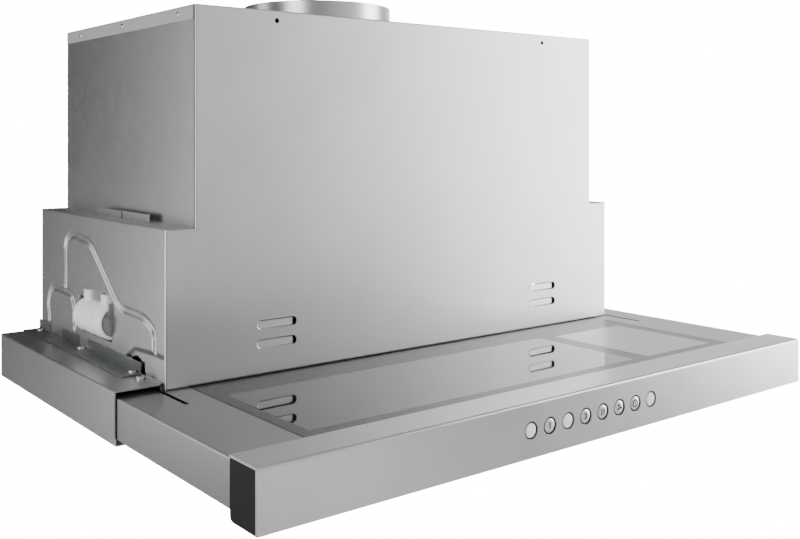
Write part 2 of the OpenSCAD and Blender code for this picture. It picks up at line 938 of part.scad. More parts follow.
module latch_pins() {
    inner = half_body - sheet;
    color("silver") both_sides() {
        rod_y(latch_pin_r, -latch_pin_x, latch_y, latch_y + latch_l, latch_pin_z);
        for (y = [latch_y, latch_y + latch_l - pin_plate_t]) {
            box(-inner + bead_deep, -latch_pin_x + 4, y, y + pin_plate_t, latch_pin_z - 4,
                latch_pin_z + 4);
            box(-inner, -inner + bead_deep, y, y + pin_plate_t, latch_pin_z - 4, latch_pin_z - 2);
        }
    }
}

module latch_springs() {
    color("silver") both_sides()
        for (i = [0 : spring_turns - 1])
            translate([-latch_pin_x, latch_y + latch_l / 2 + (i - spring_turns / 2) * spring_pitch,
                latch_pin_z])
                rotate([90, 0, 0]) rotate_extrude()
                    translate([latch_pin_r + spring_wire + 0.2, 0]) circle(spring_wire, $fn = 24);
}

// ---- slides ----

// A channel that lies along Y; its web is at x0 and its flanges reach to x1
module channel(x0, x1, y0, y1, z0, z1) {
    web = x1 > x0 ? slide_t : -slide_t;
    box(min(x0, x0 + web), max(x0, x0 + web), y0, y1, z0, z1);
    for (z = [z0, z1 - slide_t]) box(min(x0, x1), max(x0, x1), y0, y1, z, z + slide_t);
}

module slide_outers() {
    color("silver") both_sides()
        channel(-slide_web, -slide_web - slide_reach, slide_y, slide_back, slide_z,
            slide_z + slide_h);
}

module slide_mid() {
    y0 = (slide_y + slide_back + slide_inner_y + tray_back) / 4 - slide_mid_l / 2;
    x0 = slide_web + slide_t + 1;
    channel(-x0, -x0 - slide_reach + 2.7, y0, y0 + slide_mid_l, slide_z + slide_step,
        slide_z + slide_h - slide_step);
}

module slide_mid_left() {
    color("gray") slide_mid();
}

module slide_mid_right() {
    color("gray") on_side(1) slide_mid();
}

module slide_inners() {
    x1 = half_tray - tray_t;
    z = slide_z + 2 * slide_step;
    color("silver") both_sides()
        channel(-x1, -x1 + 10.5, slide_inner_y, tray_back, z, slide_z + slide_h - 2 * slide_step);
}

// Slim switch on the left wing; the screen's side wall pushes its plunger in the last stretch
module travel_switch() {
    x = -half_w + wing_t;
    y = tray_back + pull + stop_gap;
    color("black") {
        box(x, x + switch_w, y + 3, y + 15, switch_z, switch_z + 20);
        box(x, x + switch_w - 1, y, y + 3, switch_z + 8, switch_z + 12);
    }
}

// ---- pull-out screen ----

module tray_frame() {
    top = tray_top;
    y0 = y_bar_back;
    strip = carrier_half + pocket_gap;
    mid = hanger_x + hanger_t / 2;
    color("darkgray") {
        box(-strip, strip, y0, carrier_y - pocket_gap, top - tray_t, top);
        both_sides() {
            box(-half_tray, -half_tray + tray_t, y0, tray_back, tray_z, top);
            box(-half_tray, -half_tray + 10, y0, tray_back, tray_z, tray_z + tray_t);
            difference() {
                box(-half_tray, -strip, y0, tray_back, top - tray_t, top);
                box(-mid - slot_w / 2, -mid + slot_w / 2, slot_front + slot_w / 2,
                    tray_back + eps, top - tray_t - eps, top + eps);
                rod_z(slot_w / 2, -mid, slot_front + slot_w / 2, top - tray_t - eps, top + eps);
            }
            // hooks that carry the screen's own filter
            box(-hook_x, -hook_x + hanger_t, y0 + 8, slot_front - 8, screen_filter_z - hanger_t,
                top - tray_t);
            box(-hook_x, -hook_x + 10, y0 + 8, slot_front - 8, screen_filter_z - hanger_t,
                screen_filter_z);
        }
    }
}

// Cuts a pocket of the given size, with a smaller opening below its floor
module pocket(x, y, w, d, deep) {
    g = pocket_gap;
    box(x - w / 2 - g, x + w / 2 + g, y - g, y + d + g, tray_top - deep, tray_top + eps);
    box(x - w / 2 + ledge, x + w / 2 - ledge, y + ledge, y + d - ledge,
        tray_top - carrier_t - eps, tray_top);
}

module glass_carrier() {
    color("gray") difference() {
        box(-carrier_half, carrier_half, carrier_y, carrier_back, tray_top - carrier_t,
            tray_top);
        pocket(pane_x, pane_y, pane_w, pane_d, pane_t);
        pocket(cover_x, pane_y, cover_w, cover_d, pane_t);
    }
}

module glass_pane() {
    color("slategray") box(pane_x - pane_w / 2, pane_x + pane_w / 2, pane_y, pane_y + pane_d,
        tray_top - pane_t, tray_top);
}

module cover_plate() {
    color("darkgray") box(cover_x - cover_w / 2, cover_x + cover_w / 2, pane_y,
        pane_y + cover_d, tray_top - pane_t, tray_top);
}

module button_places() {
    for (i = [1 : button_count])
        translate([button_row_x + (i - (button_count + 1) / 2) * button_pitch, 0, button_z])
            children();
}

// The front and the top run the full width; the rest stops at the end caps
module handle_bar() {
    x = half_w - cap_t;
    back = y_bar_back;
    color("silver") difference() {
        union() {
            box(-half_w, half_w, y_bar, y_bar + bar_wall, 0, bar_h);
            box(-half_w, half_w, y_bar, back, bar_h - bar_wall, bar_h);
            box(-x, x, y_bar, back, 0, bar_h);
        }
        box(-x - eps, x + eps, y_bar + bar_wall, back - bar_wall, bar_wall, bar_h - bar_wall);
        button_places()
            rod_y(button_d / 2 + ring_t, 0, y_bar - eps, y_bar + bar_wall + eps, 0);
    }
}

module end_cap() {
    r = cap_round;
    x1 = -half_w + cap_t;
    color("black") difference() {
        box(-half_w, x1, y_bar + bar_wall, y_bar_back, 0, bar_h - bar_wall);
        difference() {
            box(-half_w - 1, x1 + 1, y_bar_back - r, y_bar_back + 1, -1, r);
            rod_x(r, -half_w - 2, x1 + 2, y_bar_back - r, r);
        }
    }
}

module end_cap_left() {
    end_cap();
}

module end_cap_right() {
    on_side(1) end_cap();
}

module button_rings() {
    color("black") button_places() difference() {
        rod_y(button_d / 2 + ring_t, 0, y_bar + ring_deep, y_bar + bar_wall + 2, 0);
        rod_y(button_d / 2 + run_fit, 0, y_bar, y_bar + bar_wall + 3, 0);
    }
}

module button(i) {
    x = button_row_x + (i - (button_count + 1) / 2) * button_pitch;
    color("gainsboro")
        rod_y(button_d / 2, x, y_bar + ring_deep / 2, y_bar + button_len, button_z);
}

module button_1() {
    button(1);
}

module button_2() {
    button(2);
}

module button_3() {
    button(3);
}

module button_4() {
    button(4);
}

module button_5() {
    button(5);
}

module button_6() {
    button(6);
}

module button_7() {
    button(7);
}

module button_8() {
    button(8);
}

// Circuit board behind the buttons, with a tact switch for each and its stand-offs
module control_board() {
    y0 = y_bar + button_len + button_travel + 2.5;
    color("darkgreen") {
        box(-board_half, board_half, y0, y0 + board_t, bar_wall, bar_h - bar_wall);
        button_places() rod_y(3, 0, y0 - 2.2, y0, 0);
    }
}

module screen_filter_frame() {
    z1 = screen_filter_z + screen_filter_t;
    h = screen_filter_half;
    color("silver") difference() {
        box(-h, h, screen_filter_y, screen_filter_back, screen_filter_z, z1);
        box(-h + filter_rim, h - filter_rim, screen_filter_y + filter_rim,
            screen_filter_back - filter_rim, screen_filter_z - eps, z1 + eps);
    }
}

module screen_filter_mesh() {
    h = screen_filter_half - filter_rim;
    z = screen_filter_z + screen_filter_t / 2;
    color("lightgray") box(-h, h, screen_filter_y + filter_rim, screen_filter_back - filter_rim,
        z - mesh_t / 2, z + mesh_t / 2);
}

casing_front();
casing_back();
side_panel_left();
side_panel_right();
duct_sides();
shoulders();
top_cover();
base_plate();
duct_collar();
flap_bridge();
flap_front();
flap_back();
scroll_housing();
impeller();
motor_shaft();
motor();
motor_bracket();
control_box();
mains_inlet();
underframe();
wing_left();
wing_right();
rail_brackets();
screws();
latch_left();
latch_right();
latch_pins();
latch_springs();
slide_outers();
slide_mid_left();
slide_mid_right();
slide_inners();
lamp_housings();
lamp_lenses();
travel_switch();
filter_frame_left();
filter_mesh_left();
filter_catch_left();
filter_frame_right();
filter_mesh_right();
filter_catch_right();
tray_frame();
glass_carrier();
glass_pane();
cover_plate();
handle_bar();
end_cap_left();
end_cap_right();
button_rings();
control_board();
screen_filter_frame();
screen_filter_mesh();
button_1();
button_2();
button_3();
button_4();
button_5();
button_6();
button_7();
button_8();
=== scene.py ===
"""Under cabinet range hood: the looks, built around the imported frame.

Lengths are in metres. MM turns a size in millimetres into metres.
"""
import math

import bmesh
import bpy
from mathutils import Matrix, Vector


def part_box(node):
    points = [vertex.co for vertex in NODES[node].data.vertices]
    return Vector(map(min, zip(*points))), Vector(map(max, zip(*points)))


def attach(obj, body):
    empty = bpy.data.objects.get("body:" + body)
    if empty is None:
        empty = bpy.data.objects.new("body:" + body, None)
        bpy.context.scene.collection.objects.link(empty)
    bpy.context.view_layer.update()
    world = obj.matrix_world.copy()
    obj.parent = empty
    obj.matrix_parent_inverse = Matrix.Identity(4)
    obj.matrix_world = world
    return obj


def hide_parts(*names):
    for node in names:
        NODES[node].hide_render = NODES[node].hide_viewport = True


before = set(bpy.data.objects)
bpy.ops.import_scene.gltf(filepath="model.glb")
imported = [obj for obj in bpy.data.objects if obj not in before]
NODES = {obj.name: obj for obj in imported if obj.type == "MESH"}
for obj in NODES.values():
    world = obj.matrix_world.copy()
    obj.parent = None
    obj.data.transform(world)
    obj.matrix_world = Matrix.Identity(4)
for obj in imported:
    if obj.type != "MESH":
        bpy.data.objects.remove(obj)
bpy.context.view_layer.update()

MM = 0.001
SIDES = ((-1, "left"), (1, "right"))
QUARTER_TURN = [math.radians(15 * k) for k in range(7)]


def linked(name, data):
    """Puts data into the scene as a new object."""
    made = bpy.data.objects.new(name, data)
    bpy.context.scene.collection.objects.link(made)
    return made


# ---- camera ----

def aim_camera():
    """A level camera at the hood's front left, its view moved down by the lens shift."""
    data = bpy.data.cameras.new("camera")
    data.lens, data.sensor_width = 44.44, 36.0
    data.shift_y = -0.1674
    data.clip_start, data.clip_end = 0.01, 100.0
    camera = linked("camera", data)
    camera.location = (-593.5 * MM, -754.7 * MM, 236.9 * MM)
    camera.rotation_euler = (math.radians(90), 0, math.radians(-38.38))
    bpy.context.scene.camera = camera


aim_camera()


# ---- sizes read from the frame ----

front_lo, front_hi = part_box("casing_front")
duct_lo, duct_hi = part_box("duct_sides")
lid_lo, lid_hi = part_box("top_cover")
collar_lo, collar_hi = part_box("duct_collar")
bar_lo, bar_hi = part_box("handle_bar")
cap_lo, cap_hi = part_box("end_cap_left")
tray_lo, tray_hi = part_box("tray_frame")
carrier_lo, carrier_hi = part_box("glass_carrier")
pane_lo, pane_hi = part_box("glass_pane")
cover_lo, cover_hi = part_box("cover_plate")
wing_lo, wing_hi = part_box("wing_left")
rail_lo, rail_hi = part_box("rail_brackets")
latch_lo, latch_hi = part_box("latch_left")

SHEET = duct_lo.y - front_lo.y
BODY_Y = front_lo.y
BACK_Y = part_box("casing_back")[1].y
HALF_BODY = front_hi.x
HALF_DUCT = duct_hi.x
BASE_Z = front_lo.z
SHOULDER_Z = duct_lo.z
TOP_Z = front_hi.z
BEND = 1.5 * MM


# ---- mesh helpers ----

def to_piece(name, bm, sharp=35):
    """Turns a bmesh into an object with smooth faces and sharp edges past an angle."""
    bmesh.ops.remove_doubles(bm, verts=bm.verts, dist=1e-7)
    bmesh.ops.recalc_face_normals(bm, faces=bm.faces)
    mesh = bpy.data.meshes.new(name)
    bm.to_mesh(mesh)
    bm.free()
    mesh.shade_smooth()
    mesh.set_sharp_from_angle(angle=math.radians(sharp))
    return linked(name, mesh)


def baked(piece):
    """A mesh of a piece as its modifiers or its curve make it."""
    graph = bpy.context.evaluated_depsgraph_get()
    return bpy.data.meshes.new_from_object(piece.evaluated_get(graph))


def apply_modifiers(piece, sharp=35):
    """Bakes a piece's modifiers into its mesh."""
    mesh = baked(piece)
    piece.modifiers.clear()
    piece.data = mesh
    mesh.shade_smooth()
    mesh.set_sharp_from_angle(angle=math.radians(sharp))
    return piece


def cut(piece, *cutters):
    """Takes the cutters' shapes out of a piece."""
    for cutter in cutters:
        modifier = piece.modifiers.new("cut", "BOOLEAN")
        modifier.operation, modifier.solver, modifier.object = "DIFFERENCE", "EXACT", cutter
    apply_modifiers(piece)
    for cutter in cutters:
        bpy.data.objects.remove(cutter)
    return piece


def merge(name, *pieces):
    """Joins pieces of one material into a single object."""
    bm = bmesh.new()
    for piece in pieces:
        bm.from_mesh(piece.data)
        bpy.data.objects.remove(piece)
    return to_piece(name, bm)


def place(axis, along, u, v):
    """The point at (u, v) in the plane across an axis, at a distance along it."""
    return {"x": (along, u, v), "y": (u, along, v), "z": (u, v, along)}[axis]


def rounded_path(path, radius, thick, steps=5):
    """Points and normals along an open path whose corners are bent to a radius.

    The sheet lies to the left of the path, thick away from it.
    """
    points = [Vector(p) for p in path]
    out = []
    for i, point in enumerate(points):
        before = (point - points[i - 1]).normalized() if i else None
        after = (points[i + 1] - point).normalized() if i + 1 < len(points) else None
        if before is None or after is None:
            way = after or before
            out.append((point, Vector((-way.y, way.x))))
            continue
        turn = before.x * after.y - before.y * after.x
        bend = radius if turn > 0 else max(radius - thick, 0.2 * MM)
        half = before.angle(after) / 2
        reach = bend * math.tan(half)
        side = 1 if turn > 0 else -1
        centre = point - before * reach + Vector((-before.y, before.x)) * bend * side
        first = point - before * reach - centre
        for k in range(steps + 1):
            spot = first.copy()
            spot.rotate(Matrix.Rotation(side * 2 * half * k / steps, 2))
            out.append((centre + spot, -spot.normalized() * side))
    return out


def folded(name, path, thick, axis, start, end, radius=BEND):
    """A sheet bent along a path in the plane across an axis, drawn out along the axis."""
    bm = bmesh.new()
    rows = []
    for along in (start, end):
        row = [(place(axis, along, *p), place(axis, along, *(p + n * thick)))
               for p, n in rounded_path(path, radius, thick)]
        rows.append([(bm.verts.new(a), bm.verts.new(b)) for a, b in row])
    for i in range(len(rows[0]) - 1):
        (a0, b0), (a1, b1) = rows[0][i], rows[0][i + 1]
        (c0, d0), (c1, d1) = rows[1][i], rows[1][i + 1]
        for face in ((a0, a1, c1, c0), (b0, b1, d1, d0), (a0, a1, b1, b0), (c0, c1, d1, d0)):
            bm.faces.new(face)
    for i in (0, -1):
        (a, b), (c, d) = rows[0][i], rows[1][i]
        bm.faces.new((a, b, d, c))
    return to_piece(name, bm)


def bridge(bm, rings):
    """Joins each closed ring of vertices to the next with faces."""
    for outer, inner in zip(rings, rings[1:]):
        for i in range(len(outer)):
            j = (i + 1) % len(outer)
            bm.faces.new((outer[i], outer[j], inner[j], inner[i]))


def prism(name, outline, axis, start, end, bevel=0.3 * MM, segments=2):
    """A plate of the given outline with all its edges rounded."""
    bm = bmesh.new()
    low = [bm.verts.new(place(axis, start, *p)) for p in outline]
    high = [bm.verts.new(place(axis, end, *p)) for p in outline]
    bm.faces.new(low)
    bm.faces.new(high)
    bridge(bm, [low, high])
    bmesh.ops.recalc_face_normals(bm, faces=bm.faces)
    if bevel:
        sharp = [e for e in bm.edges if e.calc_face_angle(0) > math.radians(40)]
        bmesh.ops.bevel(bm, geom=sharp, offset=bevel, segments=segments, profile=0.5,
                        affect="EDGES", clamp_overlap=True)
    return to_piece(name, bm)


def block(name, lo, hi, bevel=0.3 * MM, segments=2):
    """A rounded block between two corners."""
    outline = [(lo[0], lo[1]), (hi[0], lo[1]), (hi[0], hi[1]), (lo[0], hi[1])]
    return prism(name, outline, "z", lo[2], hi[2], bevel, segments)


def turned(name, profile, centre, axis, steps=72, closed=True):
    """A profile of (radius, distance along the axis) points turned about the axis."""
    bm = bmesh.new()
    rings = []
    for k in range(steps):
        angle = 2 * math.pi * k / steps
        ring = [place(axis, h, r * math.cos(angle), r * math.sin(angle)) for r, h in profile]
        rings.append([bm.verts.new(Vector(p) + Vector(centre)) for p in ring])
    count = len(profile)
    for k in range(steps):
        ring, after = rings[k], rings[(k + 1) % steps]
        for i in range(count if closed else count - 1):
            j = (i + 1) % count
            if profile[i][0] > 0 or profile[j][0] > 0:
                bm.faces.new((ring[i], ring[j], after[j], after[i]))
    bmesh.ops.remove_doubles(bm, verts=bm.verts, dist=1e-7)
    bmesh.ops.dissolve_degenerate(bm, edges=bm.edges, dist=1e-8)
    return to_piece(name, bm)


def side_block(name, side, near, far, y, z, bevel):
    """A rounded block on one side, between two distances from the middle plane."""
    x0, x1 = sorted((side * near, side * far))
    return block(name, (x0, y[0], z[0]), (x1, y[1], z[1]), bevel)


def drill(r, start, end, centre, axis, steps):
    """A round cutter along an axis, from start to end as measured from a point."""
    return turned("drill", [(0, start), (r, start), (r, end), (0, end)], centre, axis, steps,
                  False)


def fit(piece, body, material, slot, *replaced, drawn=False):
    """Gives a piece its material and the body it rides on; the slot argument is not used.

    Flat faces keep their own direction next to bends and rounded edges, except on drawn pieces.
    """
    if not drawn:
        weighted = piece.modifiers.new("weighted", "WEIGHTED_NORMAL")
        weighted.keep_sharp, weighted.weight = True, 100
        piece.data = baked(piece)
        piece.modifiers.clear()
    piece.data.materials.clear()
    piece.data.materials.append(material)
    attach(piece, body)
    if replaced:
        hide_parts(*replaced)
    return piece


# ---- materials ----

def colour(code):
    """An sRGB hex colour as linear RGBA."""
    parts = [int(code[i:i + 2], 16) / 255 for i in (1, 3, 5)]
    return (*[p / 12.92 if p <= 0.04045 else ((p + 0.055) / 1.055) ** 2.4 for p in parts], 1)


def add(tree, kind, inputs=None, **settings):
    """Adds a node with its settings; an input takes a value or another node's output."""
    made = tree.nodes.new(kind)
    for key, value in settings.items():
        setattr(made, key, value)
    for key, value in (inputs or {}).items():
        if isinstance(value, bpy.types.NodeSocket):
            tree.links.new(value, made.inputs[key])
        else:
            made.inputs[key].default_value = value
    return made


def start_material(name):
    """An empty node material and its Principled shader."""
    material = bpy.data.materials.new(name)
    material.use_nodes = True
    tree = material.node_tree
    tree.nodes.clear()
    shader = add(tree, "ShaderNodeBsdfPrincipled")
    out = add(tree, "ShaderNodeOutputMaterial")
    tree.links.new(shader.outputs["BSDF"], out.inputs["Surface"])
    return material, tree, shader


def pattern(tree, size, stretch=(1, 1, 1), detail=4.0):
    """Noise in object space whose features are about size metres across."""
    where = add(tree, "ShaderNodeTexCoord")
    scaled = add(tree, "ShaderNodeMapping", {"Vector": where.outputs["Object"], "Scale": stretch})
    return add(tree, "ShaderNodeTexNoise", {"Vector": scaled.outputs["Vector"],
                                            "Scale": 1 / size, "Detail": detail})


def spread(tree, source, low, high):
    """Maps a 0 to 1 pattern to a range of values."""
    return add(tree, "ShaderNodeMapRange", {"Value": source, "From Min": 0.3, "From Max": 0.7,
                                            "To Min": low, "To Max": high}).outputs["Result"]


def blend_colours(tree, source, dark, light):
    """Mixes two hex colours by a pattern."""
    ramp = add(tree, "ShaderNodeValToRGB", {"Fac": source})
    ramp.color_ramp.elements[0].position, ramp.color_ramp.elements[1].position = 0.3, 0.7
    ramp.color_ramp.elements[0].color = colour(dark)
    ramp.color_ramp.elements[1].color = colour(light)
    return ramp.outputs["Color"]


def metal(name, dark, light, rough, grain, stretch=(1, 1, 1), bump=0.006, metallic=1.0,
          rough_span=0.015):
    """A metal whose colour and gloss vary with a grain of the given size."""
    material, tree, shader = start_material(name)
    noise = pattern(tree, grain, stretch)
    cloud = pattern(tree, 60 * MM)
    tone = add(tree, "ShaderNodeMath", {0: noise.outputs["Fac"], 1: cloud.outputs["Fac"]},
               operation="ADD")
    half = add(tree, "ShaderNodeMath", {0: tone.outputs[0], 1: 0.5}, operation="MULTIPLY")
    tree.links.new(blend_colours(tree, half.outputs[0], dark, light), shader.inputs["Base Color"])
    tree.links.new(spread(tree, noise.outputs["Fac"], rough - rough_span, rough + rough_span),
                   shader.inputs["Roughness"])
    raised = add(tree, "ShaderNodeBump", {"Height": noise.outputs["Fac"], "Strength": bump,
                                          "Distance": 0.1 * MM})
    tree.links.new(raised.outputs["Normal"], shader.inputs["Normal"])
    shader.inputs["Metallic"].default_value = metallic
    return material


def plastic(name, dark, light, rough, ior=1.53, grain=0.6 * MM, bump=0.05):
    """Moulded plastic with a fine spark-eroded texture and slight changes of tone."""
    material, tree, shader = start_material(name)
    noise = pattern(tree, grain)
    cloud = pattern(tree, 15 * MM)
    tree.links.new(blend_colours(tree, cloud.outputs["Fac"], dark, light),
                   shader.inputs["Base Color"])
    tree.links.new(spread(tree, noise.outputs["Fac"], rough - 0.05, rough + 0.05),
                   shader.inputs["Roughness"])
    raised = add(tree, "ShaderNodeBump", {"Height": noise.outputs["Fac"], "Strength": bump,
                                          "Distance": 0.1 * MM})
    tree.links.new(raised.outputs["Normal"], shader.inputs["Normal"])
    shader.inputs["IOR"].default_value = ior
    return material


# Satin stainless sheet: an even fine grain, so reflections melt into soft gradients.
satin_steel = metal("satin_stainless", "#B6B7B8", "#C3C4C5", 0.40, 1.2 * MM, (1, 1, 8))
# Hot-dip galvanised sheet: duller, with a faint cloudy spangle 8 mm across.
galvanised = metal("galvanised_steel", "#AEAFB1", "#B4B5B7", 0.33, 8 * MM)
# The lid's sheet: the same steel with a duller skin pass.
dull_zinc = metal("skin_passed_zinc_sheet", "#C2C3C4", "#C8C9CA", 0.55, 4 * MM)
# Darker galvanised strip of the rails and slides.
rail_metal = metal("dark_galvanised_steel", "#848688", "#909294", 0.31, 6 * MM)
# The knitted aluminium between a filter's outer layers, packed too close to see through.
packed_metal = metal("knitted_aluminium", "#6C6D6E", "#A2A3A4", 0.45, 1.5 * MM, bump=0.3,
                     rough_span=0.1)
# Brushed stainless: lines along the bar, drawn 0.5 mm apart, coarser than real, to show.
brushed_steel = metal("brushed_stainless", "#B0B0AF", "#C0C0BE", 0.34, 0.5 * MM,
                      (0.02, 1, 1), bump=0.06, rough_span=0.06)
# Plain zinc-coated sheet of the wings: smooth, with no visible grain.
wing_steel = metal("bare_zinc_sheet", "#A9AAAB", "#AEAFB0", 0.30, 3 * MM, bump=0.0)
# Silver coil-coated sheet of the screen: smooth and slightly darker than the bar.
screen_steel = metal("silver_coated_steel", "#8E8F90", "#929394", 0.33, 3 * MM, bump=0.0)
# The glass carrier: the same sheet in a darker grey coat.
carrier_steel = metal("grey_coated_steel", "#4C4D4E", "#505152", 0.33, 3 * MM, bump=0.0)
# Spun aluminium of the duct collar: fine turning rings.
spun_metal = metal("spun_aluminium", "#C4C5C6", "#D0D1D2", 0.30, 0.8 * MM, (1, 1, 6))
# Zinc-plated screws, pins and springs: bright and quite glossy.
zinc = metal("zinc_plated_steel", "#C9CACB", "#DEDFE0", 0.22, 1 * MM)
# Rolled aluminium of the filter frames and meshes.
filter_metal = metal("rolled_aluminium", "#B9BABC", "#CACBCC", 0.35, 3 * MM, (1, 8, 1))
# Cast and painted motor can: dark and rough.
motor_paint = metal("painted_cast_iron", "#3A3B3C", "#474849", 0.6, 1.5 * MM, bump=0.2,
                    metallic=0.4)
# Brushed aluminium button caps: a clear step brighter than the bar.
button_metal = metal("satin_aluminium", "#C6C7C7", "#D6D6D5", 0.33, 0.4 * MM, (0.05, 1, 1),
                     bump=0.06)
# Moulded ABS and nylon.
black_plastic = plastic("black_abs", "#060707", "#0A0B0B", 0.6, 1.3)
white_plastic = plastic("white_nylon", "#F2F2F0", "#F8F8F6", 0.38, 1.53)
# Grey ABS of the flaps; the same grey also paints the shade on the latch's end plates.
grey_plastic_and_painted_shade = plastic("grey_abs_and_painted_shade", "#8E9092", "#9A9C9E", 0.45, 1.54)
dark_plastic = plastic("charcoal_polypropylene", "#26282A", "#303234", 0.5, 1.49)
board_green = plastic("solder_mask", "#0F3B22", "#164A2C", 0.3, 1.55)
icon_ink = plastic("pad_printed_ink", "#0C0D0D", "#121314", 0.8, 1.4)


def glowing_cap(name, body, glow, strength):
    """A translucent button cap with a light behind it."""
    material, tree, shader = start_material(name)
    noise = pattern(tree, 3 * MM)
    tree.links.new(blend_colours(tree, noise.outputs["Fac"], body, glow),
                   shader.inputs["Base Color"])
    shader.inputs["Roughness"].default_value = 0.35
    shader.inputs["IOR"].default_value = 1.49
    shader.inputs["Emission Color"].default_value = colour(glow)
    shader.inputs["Emission Strength"].default_value = strength
    return material


# Frosted acrylic cap with its lamp on.
lit_cap = glowing_cap("lit_acrylic", "#E2E2DF", "#F7F7F3", 0.35)
# Frosted glass of the lamps, switched off.
lens_glass = glowing_cap("frosted_glass", "#D9DCDC", "#ECEEEE", 0.02)


def tinted_mirror(name):
    """Grey glass: a clear reflection that grows stronger at flat angles."""
    material, tree, shader = start_material(name)
    noise = pattern(tree, 40 * MM)
    tree.links.new(blend_colours(tree, noise.outputs["Fac"], "#141617", "#181A1B"),
                   shader.inputs["Base Color"])
    tree.links.new(spread(tree, noise.outputs["Fac"], 0.03, 0.05), shader.inputs["Roughness"])
    shader.inputs["IOR"].default_value = 1.6
    return material


pane_glass = tinted_mirror("grey_glass")


# ---- casing ----

def casing_outline(inset=0.0):
    """The stepped outline of the casing's front, moved in by an inset."""
    a, b = HALF_BODY - inset, HALF_DUCT - inset
    low, mid, top = BASE_Z + inset, SHOULDER_Z - inset, TOP_Z - inset
    return [(-a, low), (a, low), (a, mid), (b, mid), (b, top), (-b, top), (-b, mid), (-a, mid)]


# The louvre vents: length and height, place, pitch and depth.
VENT_L, VENT_H = 39 * MM, 8 * MM
VENT_X, VENT_Z, VENT_PITCH = 160 * MM, 41 * MM, 16 * MM
VENT_DEEP = 2.4 * MM
# The two screw holes: place, radius and distance below the top edge.
HOLE_X, HOLE_R, HOLE_DROP = 160 * MM, 2.1 * MM, 8.5 * MM


def obround(x, z, inset, steps=10):
    """The outline of a vent: a strip with round ends."""
    run, r = (VENT_L - VENT_H) / 2, VENT_H / 2 - inset
    points = []
    for side, first in ((1, -90), (-1, 90)):
        for k in range(steps + 1):
            angle = math.radians(first + 180 * k / steps)
            points.append((x + side * run + r * math.cos(angle), z + r * math.sin(angle)))
    return points


def vent_dish(x, z):
    """The pressed-in tongue of a vent: shallow at its left end, lanced open at its right."""
    bm = bmesh.new()
    opening, slit = x + VENT_L / 2 - 3 * MM, z + VENT_H / 2 - 0.9 * MM
    rings = []
    for inset, share in ((0, 0), (0.25, 0.08), (0.6, 0.6), (1.0, 0.95), (1.5, 1.0)):
        ring = []
        for px, pz in obround(x, z, inset * MM):
            slope = 0.45 + 0.55 * (px - x + VENT_L / 2) / VENT_L
            ring.append(bm.verts.new((px, BODY_Y + share * slope * VENT_DEEP, pz)))
        rings.append(ring)
    bridge(bm, rings)
    bm.faces.new(rings[-1])
    for spot, way in (((opening, 0, 0), (1, 0, 0)), ((0, 0, slit), (0, 0, 1))):
        bmesh.ops.bisect_plane(bm, geom=bm.verts[:] + bm.edges[:] + bm.faces[:], plane_co=spot,
                               plane_no=way, clear_outer=True)
    dish = to_piece("dish", bm)
    solid = dish.modifiers.new("thick", "SOLIDIFY")
    solid.thickness, solid.offset = 0.7 * MM, 0
    return apply_modifiers(dish, 50)


def vent_centres():
    """Where the four vents sit."""
    return [(side * VENT_X, BASE_Z + VENT_Z - row * VENT_PITCH)
            for side in (-1, 1) for row in (0, 1)]


def casing_front():
    """The front plate: a flat face with edges bent back, vents and two screw holes."""
    bm = bmesh.new()
    rings = []
    bends = [(BEND * (1 - math.sin(a)), BEND * (1 - math.cos(a))) for a in QUARTER_TURN]
    for inset, deep in bends + [(0, BEND + SHEET)]:
        rings.append([bm.verts.new((x, BODY_Y + deep, z)) for x, z in casing_outline(inset)])
    for inset, deep in ((SHEET, BEND + SHEET), (SHEET, BEND), (BEND, SHEET)):
        rings.append([bm.verts.new((x, BODY_Y + deep, z)) for x, z in casing_outline(inset)])
    bridge(bm, rings)
    bm.faces.new(rings[0])
    bm.faces.new(rings[-1])
    plate = to_piece("plate", bm)
    cutters = [prism("vent", obround(x, z, 0), "y", BODY_Y - 1 * MM, BODY_Y + 3 * MM, 0)
               for x, z in vent_centres()]
    for side in (-1, 1):
        spot = (side * HOLE_X, BODY_Y, TOP_Z - HOLE_DROP)
        cutters.append(drill(HOLE_R, -1 * MM, 3 * MM, spot, "y", 32))
    cut(plate, *cutters)
    face = merge("front_panel", plate, *[vent_dish(x, z) for x, z in vent_centres()])
    fit(face, "casing", satin_steel, "painted_steel", "casing_front")


# Beads pressed into the side panel, in millimetres behind the front and above the lower edge.
BEAD_HIGH = [(218, 56), (218, 99), (200, 106), (156, 102), (97, 57), (84, 52), (41, 51),
             (20, 44), (20, 26)]
BEAD_LOW = [(262, 19), (266, 36), (254, 51), (202, 50), (196, 42), (194, 20)]
BEAD_HALF, BEAD_DEEP = 3.9, 1.7
# The arch in the lower edge, and the pressed area round it with its upper edge.
POCKET_BACK, POCKET_DROP, POCKET_R = 57, -5, 22
PRESS_DEEP, PRESS_EDGE = 2.2, [(-30, 27), (24, 27), (60, 25), (84, 12), (92, 2)]
GRID = 1.2


def distance_to(run, y, z):
    """Distance from a point to a chain of straight runs, all in millimetres."""
    best = 1e9
    for (ay, az), (by, bz) in zip(run, run[1:]):
        dy, dz = by - ay, bz - az
        t = max(0, min(1, ((y - ay) * dy + (z - az) * dz) / (dy * dy + dz * dz)))
        best = min(best, math.hypot(y - ay - t * dy, z - az - t * dz))
    return best


def ease(t):
    """A smooth step from 0 to 1."""
    t = max(0, min(1, t))
    return t * t * (3 - 2 * t)


def softened(points, reach=9.0):
    """The same chain with its corners cut round."""
    out = [points[0]]
    for before, here, after in zip(points, points[1:], points[2:]):
        way_in, way_out = Vector(before) - Vector(here), Vector(after) - Vector(here)
        a = Vector(here) + way_in.normalized() * min(reach, way_in.length / 2.2)
        b = Vector(here) + way_out.normalized() * min(reach, way_out.length / 2.2)
        for k in range(6):
            t = k / 5
            spot = a * (1 - t) ** 2 + Vector(here) * 2 * t * (1 - t) + b * t * t
            out.append((spot.x, spot.y))
    return out + [points[-1]]


